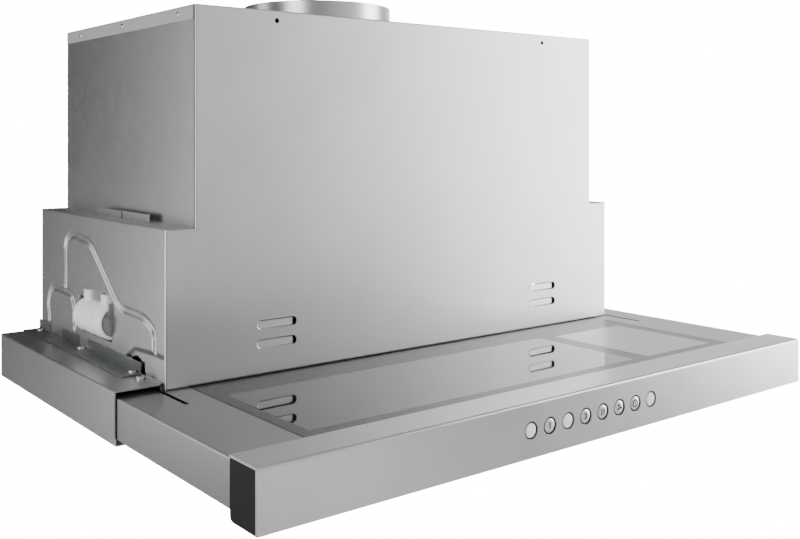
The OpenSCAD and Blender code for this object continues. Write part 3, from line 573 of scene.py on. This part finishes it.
SOFT_HIGH, SOFT_LOW = softened(BEAD_HIGH), softened(BEAD_LOW)


def pressed_in(y, z):
    """How far the side panel is pressed in at a point, in millimetres."""
    bead = min(distance_to(SOFT_HIGH, y, z), distance_to(SOFT_LOW, y, z))
    deep = BEAD_DEEP * ease((BEAD_HALF - bead) / 2.6)
    rim = 0.3 * ease(1 - abs(bead - BEAD_HALF - 0.6) / 1.5)
    edge = 99.0
    for (ay, az), (by, bz) in zip(PRESS_EDGE, PRESS_EDGE[1:]):
        if ay <= y <= by:
            edge = az + (bz - az) * (y - ay) / (by - ay)
    press = 0.0 if edge > 90 else PRESS_DEEP * ease((edge - z) / 5) * ease(1 - (edge - z) / 34)
    return max(deep - rim, press)


def grid_lines(low, high, stops):
    """Evenly spaced values from low to high that also pass through the stops."""
    lines = []
    marks = sorted([low, *stops, high])
    for a, b in zip(marks, marks[1:]):
        count = max(1, round((b - a) / GRID))
        lines += [a + (b - a) * k / count for k in range(count)]
    return lines + [high]


# The shoulder's ear: where its two stretches start and end, in millimetres behind the front,
# and its height.
EAR, EAR_H = (70, 126, 182), 6.5 * MM
# The rail's uprights: start behind the front and length, in millimetres, and the rail's sheet.
RAIL_UPRIGHTS = [(44, 114), (182, 41), (259, 29.2)]
RAIL_T = 1.2 * MM
# The latch and the window it swings in, in millimetres from the front and the lower edge.
LATCH_BACK = (latch_lo.y - BODY_Y) / MM
LATCH_LONG = (latch_hi.y - latch_lo.y) / MM
LATCH_MID, ARM_W = 36.5, 12
LATCH_ARMS = (5, LATCH_LONG - 5 - ARM_W)
WINDOW_Y = (LATCH_BACK - 2, (latch_hi.y - BODY_Y) / MM + 5)
WINDOW_Z = (LATCH_MID - 16.5, LATCH_MID + 16.5)
# Notches in the panel's back edge, the top of the arms' slots, the foot of the arch and the
# round hole, in the same millimetres.
NOTCH_IN, NOTCHES = 2.5, ((53, 56), (101.5, 104.5))
ARM_TOP, POCKET_FLOOR = 60.5, 5
HOLE_Y, HOLE_Z, HOLE_HALF = 276, 103, 2


def side_panel(name, side, node):
    """One lower side panel: thin sheet with rolled beads, an arch and the latch's window."""
    deep_y = (BACK_Y - BODY_Y - SHEET) / MM
    tall = (SHOULDER_Z - SHEET - BASE_Z) / MM
    arms = [LATCH_BACK + a + e for a in LATCH_ARMS for e in (-1, ARM_W + 1)]
    ys = grid_lines((BEND + SHEET) / MM, deep_y, [*WINDOW_Y, *arms, deep_y - NOTCH_IN])
    zs = grid_lines(0, tall, [*WINDOW_Z, POCKET_FLOOR, ARM_TOP, *NOTCHES[0], *NOTCHES[1]])
    bm = bmesh.new()
    verts = [[bm.verts.new((side * (HALF_BODY - pressed_in(y, z) * MM), BODY_Y + y * MM,
                            BASE_Z + z * MM)) for z in zs] for y in ys]
    for i in range(len(ys) - 1):
        for j in range(len(zs) - 1):
            y, z = (ys[i] + ys[i + 1]) / 2, (zs[j] + zs[j + 1]) / 2
            window = WINDOW_Y[0] < y < WINDOW_Y[1] and WINDOW_Z[0] < z < WINDOW_Z[1]
            arm = (any(a - 1 < y - LATCH_BACK < a + ARM_W + 1 for a in LATCH_ARMS)
                   and 50 < z < ARM_TOP)
            notch = y > deep_y - NOTCH_IN and any(a < z < b for a, b in NOTCHES)
            hole = math.hypot(y - HOLE_Y, z - HOLE_Z) < HOLE_HALF
            pocket = (math.hypot(y - POCKET_BACK, z - POCKET_DROP) < POCKET_R
                      and z > POCKET_FLOOR)
            if not (window or arm or notch or hole or pocket):
                bm.faces.new((verts[i][j], verts[i + 1][j], verts[i + 1][j + 1],
                              verts[i][j + 1]))
    bmesh.ops.delete(bm, geom=[v for v in bm.verts if not v.link_faces], context="VERTS")
    bmesh.ops.recalc_face_normals(bm, faces=bm.faces)
    outward = sum(f.normal.x for f in bm.faces)
    if outward * side < 0:
        bmesh.ops.reverse_faces(bm, faces=bm.faces)
    mesh = bpy.data.meshes.new("sheet")
    bm.to_mesh(mesh)
    bm.free()
    sheet = linked("sheet", mesh)
    solid = sheet.modifiers.new("thick", "SOLIDIFY")
    solid.thickness, solid.offset = SHEET, -1
    apply_modifiers(sheet)
    ears = []
    for y in (WINDOW_Y[0] - 1, WINDOW_Y[1]):
        ears.append(side_block("ear", side, HALF_BODY + 3.5 * MM, HALF_BODY - SHEET,
                               (BODY_Y + y * MM, BODY_Y + (y + 1) * MM),
                               (BASE_Z + (WINDOW_Z[1] - 12) * MM,
                                BASE_Z + (WINDOW_Z[1] + 1) * MM), 0.2 * MM))
    fit(merge(name, sheet, *ears), "casing", galvanised, "galvanised_steel", node, drawn=True)


def shoulders():
    """The casing's two steps: plates folded down over the side panels, each with a bent ear."""
    pieces = []
    for side in (-1, 1):
        out, inner = side * (HALF_BODY + 0.4 * MM), side * (HALF_DUCT - SHEET)
        path = [(out, SHOULDER_Z - 3.5 * MM), (out, SHOULDER_Z), (inner, SHOULDER_Z)]
        plate = folded("step", path[::side], 0.9 * MM, "y", BODY_Y + BEND + SHEET,
                       BACK_Y - SHEET, 1.3 * MM)
        holes = []
        for x, back in ((HALF_DUCT + 20 * MM, 60), (HALF_DUCT + 5 * MM, 254)):
            spot = (side * x, BODY_Y + back * MM, SHOULDER_Z)
            holes.append(drill(2.5 * MM, -3 * MM, 2 * MM, spot, "z", 24))
        pieces.append(cut(plate, *holes))
        near, far = HALF_DUCT + 8 * MM, HALF_DUCT + 9.5 * MM
        for start, end, x, wide in ((EAR[0], EAR[1], near, 1 * MM),
                                    (EAR[1] - 1, EAR[2], far, 1 * MM),
                                    (EAR[1] - 1, EAR[1], far, 2.5 * MM)):
            pieces.append(side_block("ear", side, x, x - wide,
                                     (BODY_Y + start * MM, BODY_Y + end * MM),
                                     (SHOULDER_Z - 0.5 * MM, SHOULDER_Z + EAR_H), 0.3 * MM))
    fit(merge("shoulder_plates", *pieces), "casing", galvanised, "galvanised_steel", "shoulders")


def rails():
    """The rail beside the casing: an angle whose upright is cut away in places."""
    pieces = []
    base, thick = rail_lo.z, RAIL_T
    for side in (-1, 1):
        inner, y1 = side * HALF_BODY, rail_hi.y
        pieces.append(side_block("flange", side, rail_hi.x, HALF_BODY, (rail_lo.y, y1),
                                 (base, base + thick), 0.35 * MM))
        for start, run in RAIL_UPRIGHTS:
            path = [(inner + side * 4 * MM, base + 0.02 * MM), (inner, base + 0.02 * MM),
                    (inner, rail_hi.z)]
            pieces.append(folded("upright", path[::-side], thick, "y", BODY_Y + start * MM,
                                 min(BODY_Y + (start + run) * MM, y1), 1.5 * MM))
    fit(merge("rail_angles", *pieces), "casing", rail_metal, "rail_steel", "rail_brackets")


COLLAR_R = 75 * MM


def top_cover():
    """The lid: its two long edges are folded down over the duct sides."""
    lip = lid_hi.z - lid_lo.z
    half = lid_hi.x
    path = [(half, TOP_Z - lip), (half, TOP_Z), (-half, TOP_Z), (-half, TOP_Z - lip)]
    lid = folded("lid", path, 0.8 * MM, "y", BODY_Y + 3.2 * MM, BACK_Y - SHEET, 1.4 * MM)
    centre = (collar_lo + collar_hi) / 2
    bore = (collar_hi.y - collar_lo.y) / 2 - 12 * MM
    mouth = drill(bore, -5 * MM, 5 * MM, (centre.x, centre.y, TOP_Z), "z", 96)
    fit(cut(lid, mouth), "casing", dull_zinc, "galvanised_steel", "top_cover")


def duct_collar():
    """The round spigot: a foot flange, a straight wall and a rolled rim."""
    centre = (collar_lo + collar_hi) / 2
    r, foot = COLLAR_R, (collar_hi.x - collar_lo.x) / 2
    tall, wall = collar_hi.z - TOP_Z, 1.2 * MM
    seat = 4 * MM
    rim = [(r - wall / 2 + wall / 2 * math.cos(a), tall - wall / 2 + wall / 2 * math.sin(a))
           for a in (math.radians(30 * k) for k in range(7))]
    outside = [(foot - 0.3 * MM, 0), (foot, 0.3 * MM), (foot, wall - 0.3 * MM),
               (foot - 0.3 * MM, wall), (r + 1.4 * MM, wall), (r + 0.4 * MM, wall + 0.4 * MM),
               (r, wall + 1.4 * MM), (r, 6 * MM), (r - 0.5 * MM, 6.6 * MM),
               (r - 0.5 * MM, 8.4 * MM), (r, 9 * MM)]
    inside = [(r - wall, seat), (r - wall - 4 * MM, seat), (r - wall - 4 * MM, 0)]
    ring = turned("spigot", outside + rim + inside, (centre.x, centre.y, TOP_Z), "z", 180)
    fit(ring, "casing", spun_metal, "collar_metal", "duct_collar")


def screw_head(name, head_r, head_h, centre, axis, sign=1):
    """A pan-head screw with a cross recess."""
    profile = [(0, 0), (head_r, 0), (head_r, head_h * 0.35)]
    profile += [(head_r * math.cos(a), head_h * (0.35 + 0.65 * math.sin(a)))
                for a in (math.radians(18 * k) for k in range(1, 6))]
    screw = turned(name, [(r, sign * h) for r, h in profile], centre, axis, 32, False)
    arm, top, deep = head_r * 0.55, sign * head_h * 1.1, sign * head_h * 0.45
    slots = []
    for wide, high in ((arm, head_r * 0.13), (head_r * 0.13, arm)):
        a = Vector(place(axis, min(top, deep), -wide, -high)) + Vector(centre)
        b = Vector(place(axis, max(top, deep), wide, high)) + Vector(centre)
        slots.append(block("slot", a, b, 0))
    return cut(screw, *slots)


def screws():
    """Screws through the rails, the wings and the lid's lips."""
    heads = []
    rail_top = rail_lo.z + RAIL_T
    for side in (-1, 1):
        for back in (53, 168, 276):
            spot = (side * (HALF_BODY + 4.3 * MM), BODY_Y + back * MM, rail_top)
            heads.append(screw_head("head", 3.0 * MM, 1.8 * MM, spot, "z"))
        spot = (side * (HALF_BODY + 7 * MM), BODY_Y + 32 * MM, wing_hi.z)
        heads.append(screw_head("head", 3.2 * MM, 2.8 * MM, spot, "z"))
        for back in (30, 142, 244):
            spot = (side * lid_hi.x, BODY_Y + back * MM, TOP_Z - 6 * MM)
            heads.append(screw_head("head", 2.5 * MM, 1.2 * MM, spot, "x", side))
    fit(merge("screw_heads", *heads), "casing", zinc, "bright_steel", "screws")


# ---- wings, rails and latches ----

def wing(name, side, node):
    """A side wing: a tall outer wall with flanges folded in at its top and bottom."""
    out, inner = side * wing_hi.x if side > 0 else wing_lo.x, HALF_BODY + 0.5 * MM
    lip = 8 * MM
    path = [(out - side * lip, wing_lo.z), (out, wing_lo.z), (out, wing_hi.z),
            (side * inner, wing_hi.z)]
    piece = folded(name, path[::side], SHEET, "y", wing_lo.y, wing_hi.y, 1.6 * MM)
    fit(piece, "casing", wing_steel, "galvanised_steel", node)


def latch(name, side, node, body):
    """A side latch: a ribbed spring barrel, open at its ends, on two arms, with a grey plate just
    inside each end that is painted shade in the white barrel's hollow.
    """
    r, skin, groove = 16 * MM, 2.4 * MM, 2.0 * MM
    length = latch_hi.y - latch_lo.y
    axis_x, axis_z = 256.1 * MM, BASE_Z + LATCH_MID * MM
    ribs, steps, turns = 6, 96, 28
    angles = [math.radians(-112 + 224 * k / turns) for k in range(turns + 1)]
    bm = bmesh.new()
    grid = {}
    for i in range(steps + 1):
        along = i / steps
        wave = abs(math.sin(math.pi * ribs * along)) ** 0.5
        for k, angle in enumerate(angles):
            for layer, radius in ((0, r - groove * (1 - wave)), (1, r - groove - 0.5 * skin)):
                x = side * (axis_x + radius * math.cos(angle))
                grid[i, k, layer] = bm.verts.new((x, latch_lo.y + length * along,
                                                  axis_z + radius * math.sin(angle)))
    for i in range(steps):
        for k in range(turns):
            for layer in (0, 1):
                bm.faces.new([grid[i + a, k + b, layer] for a, b in ((0, 0), (1, 0), (1, 1),
                                                                    (0, 1))])
    for i in range(steps):
        for k in (0, turns):
            bm.faces.new([grid[i, k, 0], grid[i + 1, k, 0], grid[i + 1, k, 1], grid[i, k, 1]])
    for k in range(turns):
        for i in (0, steps):
            bm.faces.new([grid[i, k, 0], grid[i, k + 1, 0], grid[i, k + 1, 1], grid[i, k, 1]])
    pieces, ends = [to_piece("barrel", bm)], []
    for y in (1.5 * MM, length - 3 * MM):
        rim = [(side * (axis_x + (r - 3 * MM) * math.cos(a)), axis_z + (r - 3 * MM) * math.sin(a))
               for a in angles]
        ends.append(prism("end", rim, "y", latch_lo.y + y, latch_lo.y + y + 1.5 * MM, 0))
    pin_x, pin_z, pin_r, boss_r = 254.5 * MM, axis_z + r + 6 * MM, 2.06 * MM, 4 * MM
    arm_w = ARM_W * MM
    for y in (5 * MM, length - 17 * MM):
        arm = side_block("arm", side, pin_x - boss_r, HALF_BODY + 2.5 * MM,
                         (latch_lo.y + y, latch_lo.y + y + arm_w),
                         (axis_z + r - 3.2 * MM, pin_z + 1 * MM), 0.5 * MM)
        spot = (side * pin_x, latch_lo.y + y, pin_z)
        boss = turned("boss", [(pin_r, 0), (boss_r, 0), (boss_r, arm_w), (pin_r, arm_w)], spot,
                      "y", 40)
        bore = drill(pin_r, -1 * MM, arm_w + 1 * MM, spot, "y", 40)
        pieces += [cut(arm, bore), boss]
    fit(merge(name, *pieces), body, white_plastic, "white_plastic", node, drawn=True)
    # The end plates are painted shade: grey in place of the white plastic's shaded hollow.
    fit(merge(f"{name}_ends", *ends), body, grey_plastic_and_painted_shade, "white_plastic")


# ---- pull-out screen ----

BUTTON_R, BUTTON_PITCH, BUTTON_MID = 5.5 * MM, 20 * MM, 1.5 * MM
RING_T = 1 * MM
BAR_WALL = 1.5 * MM
# Half the width of the screen's front strip.
STRIP_HALF = 240.5 * MM


def button_x(i):
    """Sideways place of button i, from 1 to 8."""
    return BUTTON_MID + (i - 4.5) * BUTTON_PITCH


def handle_bar():
    """The bar: a full-width folded sheet in front and on top, and a liner behind it."""
    y0, y1, top = bar_lo.y, bar_hi.y, bar_hi.z
    skin = folded("skin", [(y0, 0), (y0, top), (y1, top)][::-1], BAR_WALL, "x", bar_lo.x,
                  bar_hi.x, 2.0 * MM)
    inner = bar_hi.x - 2.5 * MM
    liner = folded("liner", [(y1, top - BAR_WALL), (y1, 0), (y0 + BAR_WALL, 0)][::-1], BAR_WALL,
                   "x", -inner, inner, 1.8 * MM)
    holes = []
    for i in range(1, 9):
        r = BUTTON_R + RING_T
        holes.append(turned("hole", [(0, -1 * MM), (r + 1.2 * MM, -1 * MM), (r, 0.4 * MM),
                                     (r, 3 * MM), (0, 3 * MM)],
                            (button_x(i), y0, top / 2), "y", 64, False))
    fit(merge("handle", cut(skin, *holes), liner), "screen", brushed_steel, "bar_steel",
        "handle_bar")


def end_cap(name, side, node):
    """A black plug in the bar's end with a rounded lower back corner."""
    y0, y1, z1 = cap_lo.y + 0.1 * MM, cap_hi.y, cap_hi.z - 0.1 * MM
    r = 4 * MM
    outline = [(y0, 0), (y0, z1), (y1 - 1 * MM, z1), (y1, z1 - 1 * MM)]
    outline += [(y1 - r + r * math.cos(a), r - r * math.sin(a)) for a in QUARTER_TURN]
    x0, x1 = (cap_lo.x, cap_hi.x) if side < 0 else (-cap_hi.x, -cap_lo.x)
    piece = prism(name, outline, "x", x0, x1, 0.5 * MM, 3)
    fit(piece, "screen", black_plastic, "black_plastic", node)


# The buttons whose lamps are on, and how far the caps sit behind the bar's face.
LIT = (1, 3, 8)
CAP_IN = 0.15 * MM


def push_buttons():
    """Eight round caps with a soft dome, each in a dark ring."""
    y0, z = bar_lo.y, bar_hi.z / 2
    face = y0 + CAP_IN
    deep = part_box("button_1")[1].y - face
    rings = []
    for i in range(1, 9):
        r, dome = BUTTON_R, 0.5 * MM
        profile = [(0, 0), (r * 0.55, 0.06 * MM), (r * 0.82, 0.2 * MM), (r - 0.25 * MM, dome),
                   (r, dome + 0.4 * MM), (r, deep), (0, deep)]
        cap = turned(f"cap_{i}", profile, (button_x(i), face, z), "y", 64, False)
        fit(cap, f"push_{i}", lit_cap if i in LIT else button_metal, "button_metal",
            f"button_{i}")
        outer, inner = BUTTON_R + RING_T, BUTTON_R + 0.06 * MM
        profile = [(inner, 0.55 * MM), (inner + 0.4 * MM, 0.55 * MM), (outer, 1.9 * MM),
                   (outer, 3.4 * MM), (inner, 3.4 * MM)]
        rings.append(turned("ring", profile, (button_x(i), y0, z), "y", 64))
    fit(merge("rings", *rings), "screen", black_plastic, "black_plastic", "button_rings")


def flat_mark(name, outline, i, size):
    """A thin printed shape on a button, given as outline points from -1 to 1."""
    z = bar_hi.z / 2
    points = [(button_x(i) + u * size, z + v * size) for u, v in outline]
    front = bar_lo.y + CAP_IN - 0.08 * MM
    return prism(name, points, "y", front, front + 0.35 * MM, 0)


def numeral(name, text, i, size):
    """A number on a button, from the built-in typeface."""
    curve = bpy.data.curves.new(name, "FONT")
    curve.body, curve.size, curve.extrude, curve.offset = text, size, 0.15 * MM, 0.28 * MM
    curve.align_x, curve.align_y = "CENTER", "CENTER"
    maker = linked(name, curve)
    mesh = baked(maker)
    bpy.data.objects.remove(maker)
    spot = Vector((button_x(i), bar_lo.y + CAP_IN + 0.07 * MM, bar_hi.z / 2))
    mesh.transform(Matrix.Translation(spot) @ Matrix.Rotation(math.radians(90), 4, "X"))
    return linked(name, mesh)


def ring_mark(name, i, outer, inner):
    """A thin printed ring on a button."""
    profile = [(inner, -0.08 * MM), (outer, -0.08 * MM), (outer, 0.2 * MM), (inner, 0.2 * MM)]
    return turned(name, profile, (button_x(i), bar_lo.y + CAP_IN, bar_hi.z / 2), "y", 48)


def marks():
    """Plain numbers and simple icons on the caps."""
    for i, text in ((2, "1"), (4, "3")):
        fit(numeral(f"number_{text}", text, i, 6 * MM), f"push_{i}", icon_ink, "black_plastic")
    size = 2.2 * MM
    bars = []
    for u in (-1.05, 0.05):
        bars.append(flat_mark("arrow", [(u, 1.1), (u + 0.45, 1.1), (u + 1.05, 0), (u + 0.45, -1.1),
                                        (u, -1.1), (u + 0.55, 0)], 5, size))
    fit(merge("chevrons", *bars), "push_5", icon_ink, "black_plastic")
    blades = []
    for k in range(3):
        turn = math.radians(90 + 120 * k)
        tip = [(0.1, 0.25), (0.75, 0.6), (1.05, 0.1), (0.55, -0.3)]
        blades.append(flat_mark("blade", [(u * math.cos(turn) - v * math.sin(turn),
                                           u * math.sin(turn) + v * math.cos(turn))
                                          for u, v in tip], 6, 1.25 * size))
    fit(merge("fan_icon", *blades), "push_6", icon_ink, "black_plastic")
    hand = flat_mark("hand", [(-0.2, -0.2), (0.2, -0.2), (0.2, 0.8), (-0.2, 0.8)], 7, size)
    clock = ring_mark("clock", 7, 3.2 * MM, 2.3 * MM)
    fit(merge("clock_icon", hand, clock), "push_7", icon_ink, "black_plastic")


def tray_side(side):
    """One side of the screen's frame: a wall with its foot and its top strip folded in."""
    out, strip = side * tray_hi.x, side * STRIP_HALF
    foot = out - side * 10 * MM
    path = [(foot, tray_lo.z), (out, tray_lo.z), (out, tray_hi.z), (strip, tray_hi.z)]
    sheet = folded("side", path[::side], SHEET, "y", tray_lo.y, tray_hi.y, 1.6 * MM)
    middle, half, front = side * 263.5 * MM, 1.8 * MM, -85.2 * MM
    outline = [(middle + half * math.cos(a), front + half + half * math.sin(a))
               for a in (math.radians(180 + 15 * k) for k in range(13))]
    outline += [(middle + half, tray_hi.y + 5 * MM), (middle - half, tray_hi.y + 5 * MM)]
    slot = prism("slot", outline, "z", tray_hi.z - 5 * MM, tray_hi.z + 5 * MM, 0)
    return cut(sheet, slot)


def screen_frame():
    """The pull-out frame: two folded sides, a front strip and hooks for the filter."""
    y0, top = tray_lo.y, tray_hi.z
    edge = carrier_lo.y - 0.1 * MM
    strip = block("strip", (-STRIP_HALF, y0, top - SHEET), (STRIP_HALF, edge, top), 0.2 * MM)
    hooks = []
    for side in (-1, 1):
        path = [(side * 248.5 * MM, 15.4 * MM), (side * 258.5 * MM, 15.4 * MM),
                (side * 258.5 * MM, top - SHEET)]
        hooks.append(folded("hook", path[::side], 1.2 * MM, "y", y0 + 8 * MM, -93 * MM))
    fit(merge("screen_sides", tray_side(-1), tray_side(1), strip, *hooks), "screen",
        screen_steel, "silver_steel", "tray_frame")


def rectangle(lo, hi, grow=0.0):
    """Corners of a box seen from above."""
    return [(lo.x - grow, lo.y - grow), (hi.x + grow, lo.y - grow), (hi.x + grow, hi.y + grow),
            (lo.x - grow, hi.y + grow)]


def carrier():
    """The middle plate of the screen, with a pocket for the pane and one for the cover."""
    gap = 0.25 * MM
    plate = prism("plate", rectangle(carrier_lo, carrier_hi, -0.35 * MM), "z", carrier_lo.z,
                  carrier_hi.z, 0.15 * MM)
    pockets = []
    for lo, hi in ((pane_lo, pane_hi), (cover_lo, cover_hi)):
        pockets.append(prism("pocket", rectangle(lo, hi, gap), "z", lo.z - 0.05 * MM,
                             hi.z + 1 * MM, 0))
        pockets.append(prism("through", rectangle(lo, hi, -8 * MM), "z", carrier_lo.z - 1 * MM,
                             hi.z + 2 * MM, 0))
    fit(cut(plate, *pockets), "screen", carrier_steel, "silver_steel", "glass_carrier")
    pane = prism("pane", rectangle(pane_lo, pane_hi), "z", pane_lo.z, pane_hi.z, 0.3 * MM, 3)
    fit(pane, "screen", pane_glass, "pane_glass", "glass_pane")
    cover = prism("cover", rectangle(cover_lo, cover_hi), "z", cover_lo.z, cover_hi.z, 0.3 * MM)
    fit(cover, "screen", satin_steel, "silver_steel", "cover_plate")


casing_front()
for side, hand in SIDES:
    side_panel(f"panel_{hand}", side, f"side_panel_{hand}")
shoulders()
rails()
top_cover()
duct_collar()
screws()
for side, hand in SIDES:
    wing(f"wing_sheet_{hand}", side, f"wing_{hand}")
for side, hand in SIDES:
    latch(f"barrel_{hand}", side, f"latch_{hand}", f"{hand}_latch")
handle_bar()
for side, hand in SIDES:
    end_cap(f"plug_{hand}", side, f"end_cap_{hand}")
push_buttons()
marks()
screen_frame()
carrier()


# ---- grease filters ----

# The diamonds' long and short diagonals, the strands, and how deep the layers' middles lie.
DIAMOND_LONG, DIAMOND_SHORT = 12 * MM, 7 * MM
STRAND, LAYER_IN = 1.2 * MM, 0.7 * MM
HEM, PAD_HALF = 1 * MM, 0.4 * MM


def expanded_mesh(name, node, body):
    """A filter's inside: two crossed layers of expanded aluminium, a hem and a pad between."""
    low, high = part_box(node)
    wide_in, deep_in = high.x - low.x - 2 * HEM, high.y - low.y - 2 * HEM
    layers = []
    for level, wide, tall in ((low.z + LAYER_IN, DIAMOND_LONG, DIAMOND_SHORT),
                              (high.z - LAYER_IN, DIAMOND_SHORT, DIAMOND_LONG)):
        across, along = max(2, round(wide_in / wide)), max(2, round(deep_in / tall))
        step_x, step_y = wide_in / across, deep_in / along
        bm = bmesh.new()
        spots = {}

        def spot(i, j):
            if (i, j) not in spots:
                spots[i, j] = bm.verts.new((low.x + HEM + i * step_x / 2,
                                            low.y + HEM + j * step_y / 2, level))
            return spots[i, j]

        for i in range(1, 2 * across):
            for j in range(1, 2 * along):
                if (i + j) % 2 == 0:
                    bm.faces.new((spot(i - 1, j), spot(i, j - 1), spot(i + 1, j), spot(i, j + 1)))
        layer = to_piece("layer", bm)
        strands = layer.modifiers.new("strands", "WIREFRAME")
        strands.thickness, strands.use_boundary = STRAND, True
        layers.append(apply_modifiers(layer))
    hem = prism("hem", rectangle(low, high), "z", low.z, high.z, 0)
    hole = prism("hole", rectangle(low, high, -HEM), "z", low.z - 1 * MM, high.z + 1 * MM, 0)
    fit(merge(name, *layers, cut(hem, hole)), body, filter_metal, "filter_mesh_metal", node)
    middle = (low.z + high.z) / 2
    pad = prism(f"{name}_pad", rectangle(low, high), "z", middle - PAD_HALF,
                middle + PAD_HALF, 0.2 * MM)
    fit(pad, body, packed_metal, "filter_mesh_metal")


for side, hand in SIDES:
    expanded_mesh(f"expanded_mesh_{hand}", f"filter_mesh_{hand}", f"{hand}_filter")
expanded_mesh("expanded_mesh_screen", "screen_filter_mesh", "screen")


# ---- carried-over CAD pieces ----

FINISHES = {
    galvanised: ("casing_back", "duct_sides", "base_plate", "motor_bracket",
                 "underframe", "slide_outers", "scroll_housing"),
    rail_metal: ("slide_mid_left", "slide_mid_right", "slide_inners"),
    grey_plastic_and_painted_shade: ("flap_bridge", "flap_front", "flap_back"),
    dark_plastic: ("impeller", "filter_catch_left", "filter_catch_right"),
    zinc: ("motor_shaft", "latch_pins", "latch_springs"),
    motor_paint: ("motor",),
    white_plastic: ("control_box", "lamp_housings"),
    lens_glass: ("lamp_lenses",),
    black_plastic: ("mains_inlet", "travel_switch"),
    filter_metal: ("filter_frame_left", "filter_frame_right", "screen_filter_frame"),
    board_green: ("control_board",),
}
for finish, names in FINISHES.items():
    for node_name in names:
        NODES[node_name].data.materials.clear()
        NODES[node_name].data.materials.append(finish)


# ---- floor and lights ----

WHITE_GLOW = 20.0


def seen_white(tree, plain, glow):
    """Shows white straight to the camera and the plain shader to everything else."""
    path = add(tree, "ShaderNodeLightPath")
    mix = add(tree, "ShaderNodeMixShader", {"Fac": path.outputs["Is Camera Ray"]})
    tree.links.new(plain, mix.inputs[1])
    tree.links.new(glow, mix.inputs[2])
    return mix.outputs["Shader"]


def soft_floor():
    """A wide pale floor, below the reach of the filters when they hang open."""
    bm = bmesh.new()
    bmesh.ops.create_grid(bm, x_segments=1, y_segments=1, size=12)
    floor = to_piece("floor", bm)
    floor.location.z = -0.33
    material, tree, shader = start_material("white_paper")
    noise = pattern(tree, 0.5)
    tree.links.new(blend_colours(tree, noise.outputs["Fac"], "#C4C4C4", "#C8C8C8"),
                   shader.inputs["Base Color"])
    shader.inputs["Roughness"].default_value = 0.9
    glow = add(tree, "ShaderNodeEmission", {"Color": (1, 1, 1, 1), "Strength": WHITE_GLOW})
    out = [n for n in tree.nodes if n.type == "OUTPUT_MATERIAL"][0]
    tree.links.new(seen_white(tree, shader.outputs["BSDF"], glow.outputs["Emission"]),
                   out.inputs["Surface"])
    floor.data.materials.append(material)


def softbox(name, place_at, target, wide, high, radiance):
    """A rectangular light of a given brightness aimed at a point."""
    data = bpy.data.lights.new(name, "AREA")
    data.shape, data.size, data.size_y = "RECTANGLE", wide, high
    data.energy = radiance * math.pi * wide * high
    light = linked(name, data)
    light.location = place_at
    way = Vector(target) - Vector(place_at)
    light.rotation_euler = way.to_track_quat("-Z", "Y").to_euler()
    light.visible_camera = False


# The room's pale side, and its tone from the dark side (0) to the pale side (1).
FRONT_WAY = (0.6, -0.8, 0.0)
ROOM_TONES = [(0.0, 0.07), (0.35, 0.10), (0.5, 0.22), (0.75, 0.50), (0.95, 0.95), (1.0, 1.0)]


def studio_room():
    """A surround that is dark behind the hood and pale in front of it."""
    world = bpy.data.worlds.new("room")
    world.use_nodes = True
    tree = world.node_tree
    tree.nodes.clear()
    where = add(tree, "ShaderNodeTexCoord")
    facing = add(tree, "ShaderNodeVectorMath", {0: where.outputs["Generated"]},
                 operation="DOT_PRODUCT")
    facing.inputs[1].default_value = FRONT_WAY
    share = add(tree, "ShaderNodeMapRange", {"Value": facing.outputs["Value"], "From Min": -1.0,
                                             "From Max": 1.0})
    ramp = add(tree, "ShaderNodeValToRGB", {"Fac": share.outputs["Result"]})
    for i, (spot, tone) in enumerate(ROOM_TONES):
        stop = ramp.color_ramp.elements[i] if i < 2 else ramp.color_ramp.elements.new(spot)
        stop.position, stop.color = spot, (tone, tone, tone, 1)
    plain = add(tree, "ShaderNodeBackground", {"Color": ramp.outputs["Color"], "Strength": 1.0})
    glow = add(tree, "ShaderNodeBackground", {"Color": (1, 1, 1, 1), "Strength": WHITE_GLOW})
    out = add(tree, "ShaderNodeOutputWorld")
    tree.links.new(seen_white(tree, plain.outputs["Background"], glow.outputs["Background"]),
                   out.inputs["Surface"])
    bpy.context.scene.world = world


soft_floor()
studio_room()
softbox("key", (1.25, -0.75, 0.43), (0.1, -0.1, 0.20), 0.75, 1.1, 9.0)
softbox("key_low", (1.30, -0.70, -0.16), (0.2, -0.2, 0.02), 0.42, 0.26, 9.0)
softbox("fill_low", (0.12, -1.0, -0.26), (-0.3, -0.25, 0.02), 0.5, 0.25, 1.6)
softbox("left", (-0.85, -0.25, 0.25), (-0.26, 0.0, 0.15), 0.35, 0.8, 5.0)
softbox("left_low", (-0.80, 0.30, -0.05), (-0.29, -0.2, 0.02), 0.22, 0.2, 3.0)
softbox("left_back", (-0.90, 0.68, 0.14), (-0.26, 0.04, 0.12), 0.36, 0.8, 2.8)
softbox("edge", (-0.65, 1.15, 0.90), (-0.29, -0.1, 0.06), 0.25, 0.25, 6.0)
softbox("right_back", (1.5, 1.0, 0.4), (0.3, 0.0, 0.05), 1.2, 0.9, 1.6)
softbox("top", (0.1, 0.0, 1.8), (0, 0, 0.2), 1.2, 0.8, 1.5)
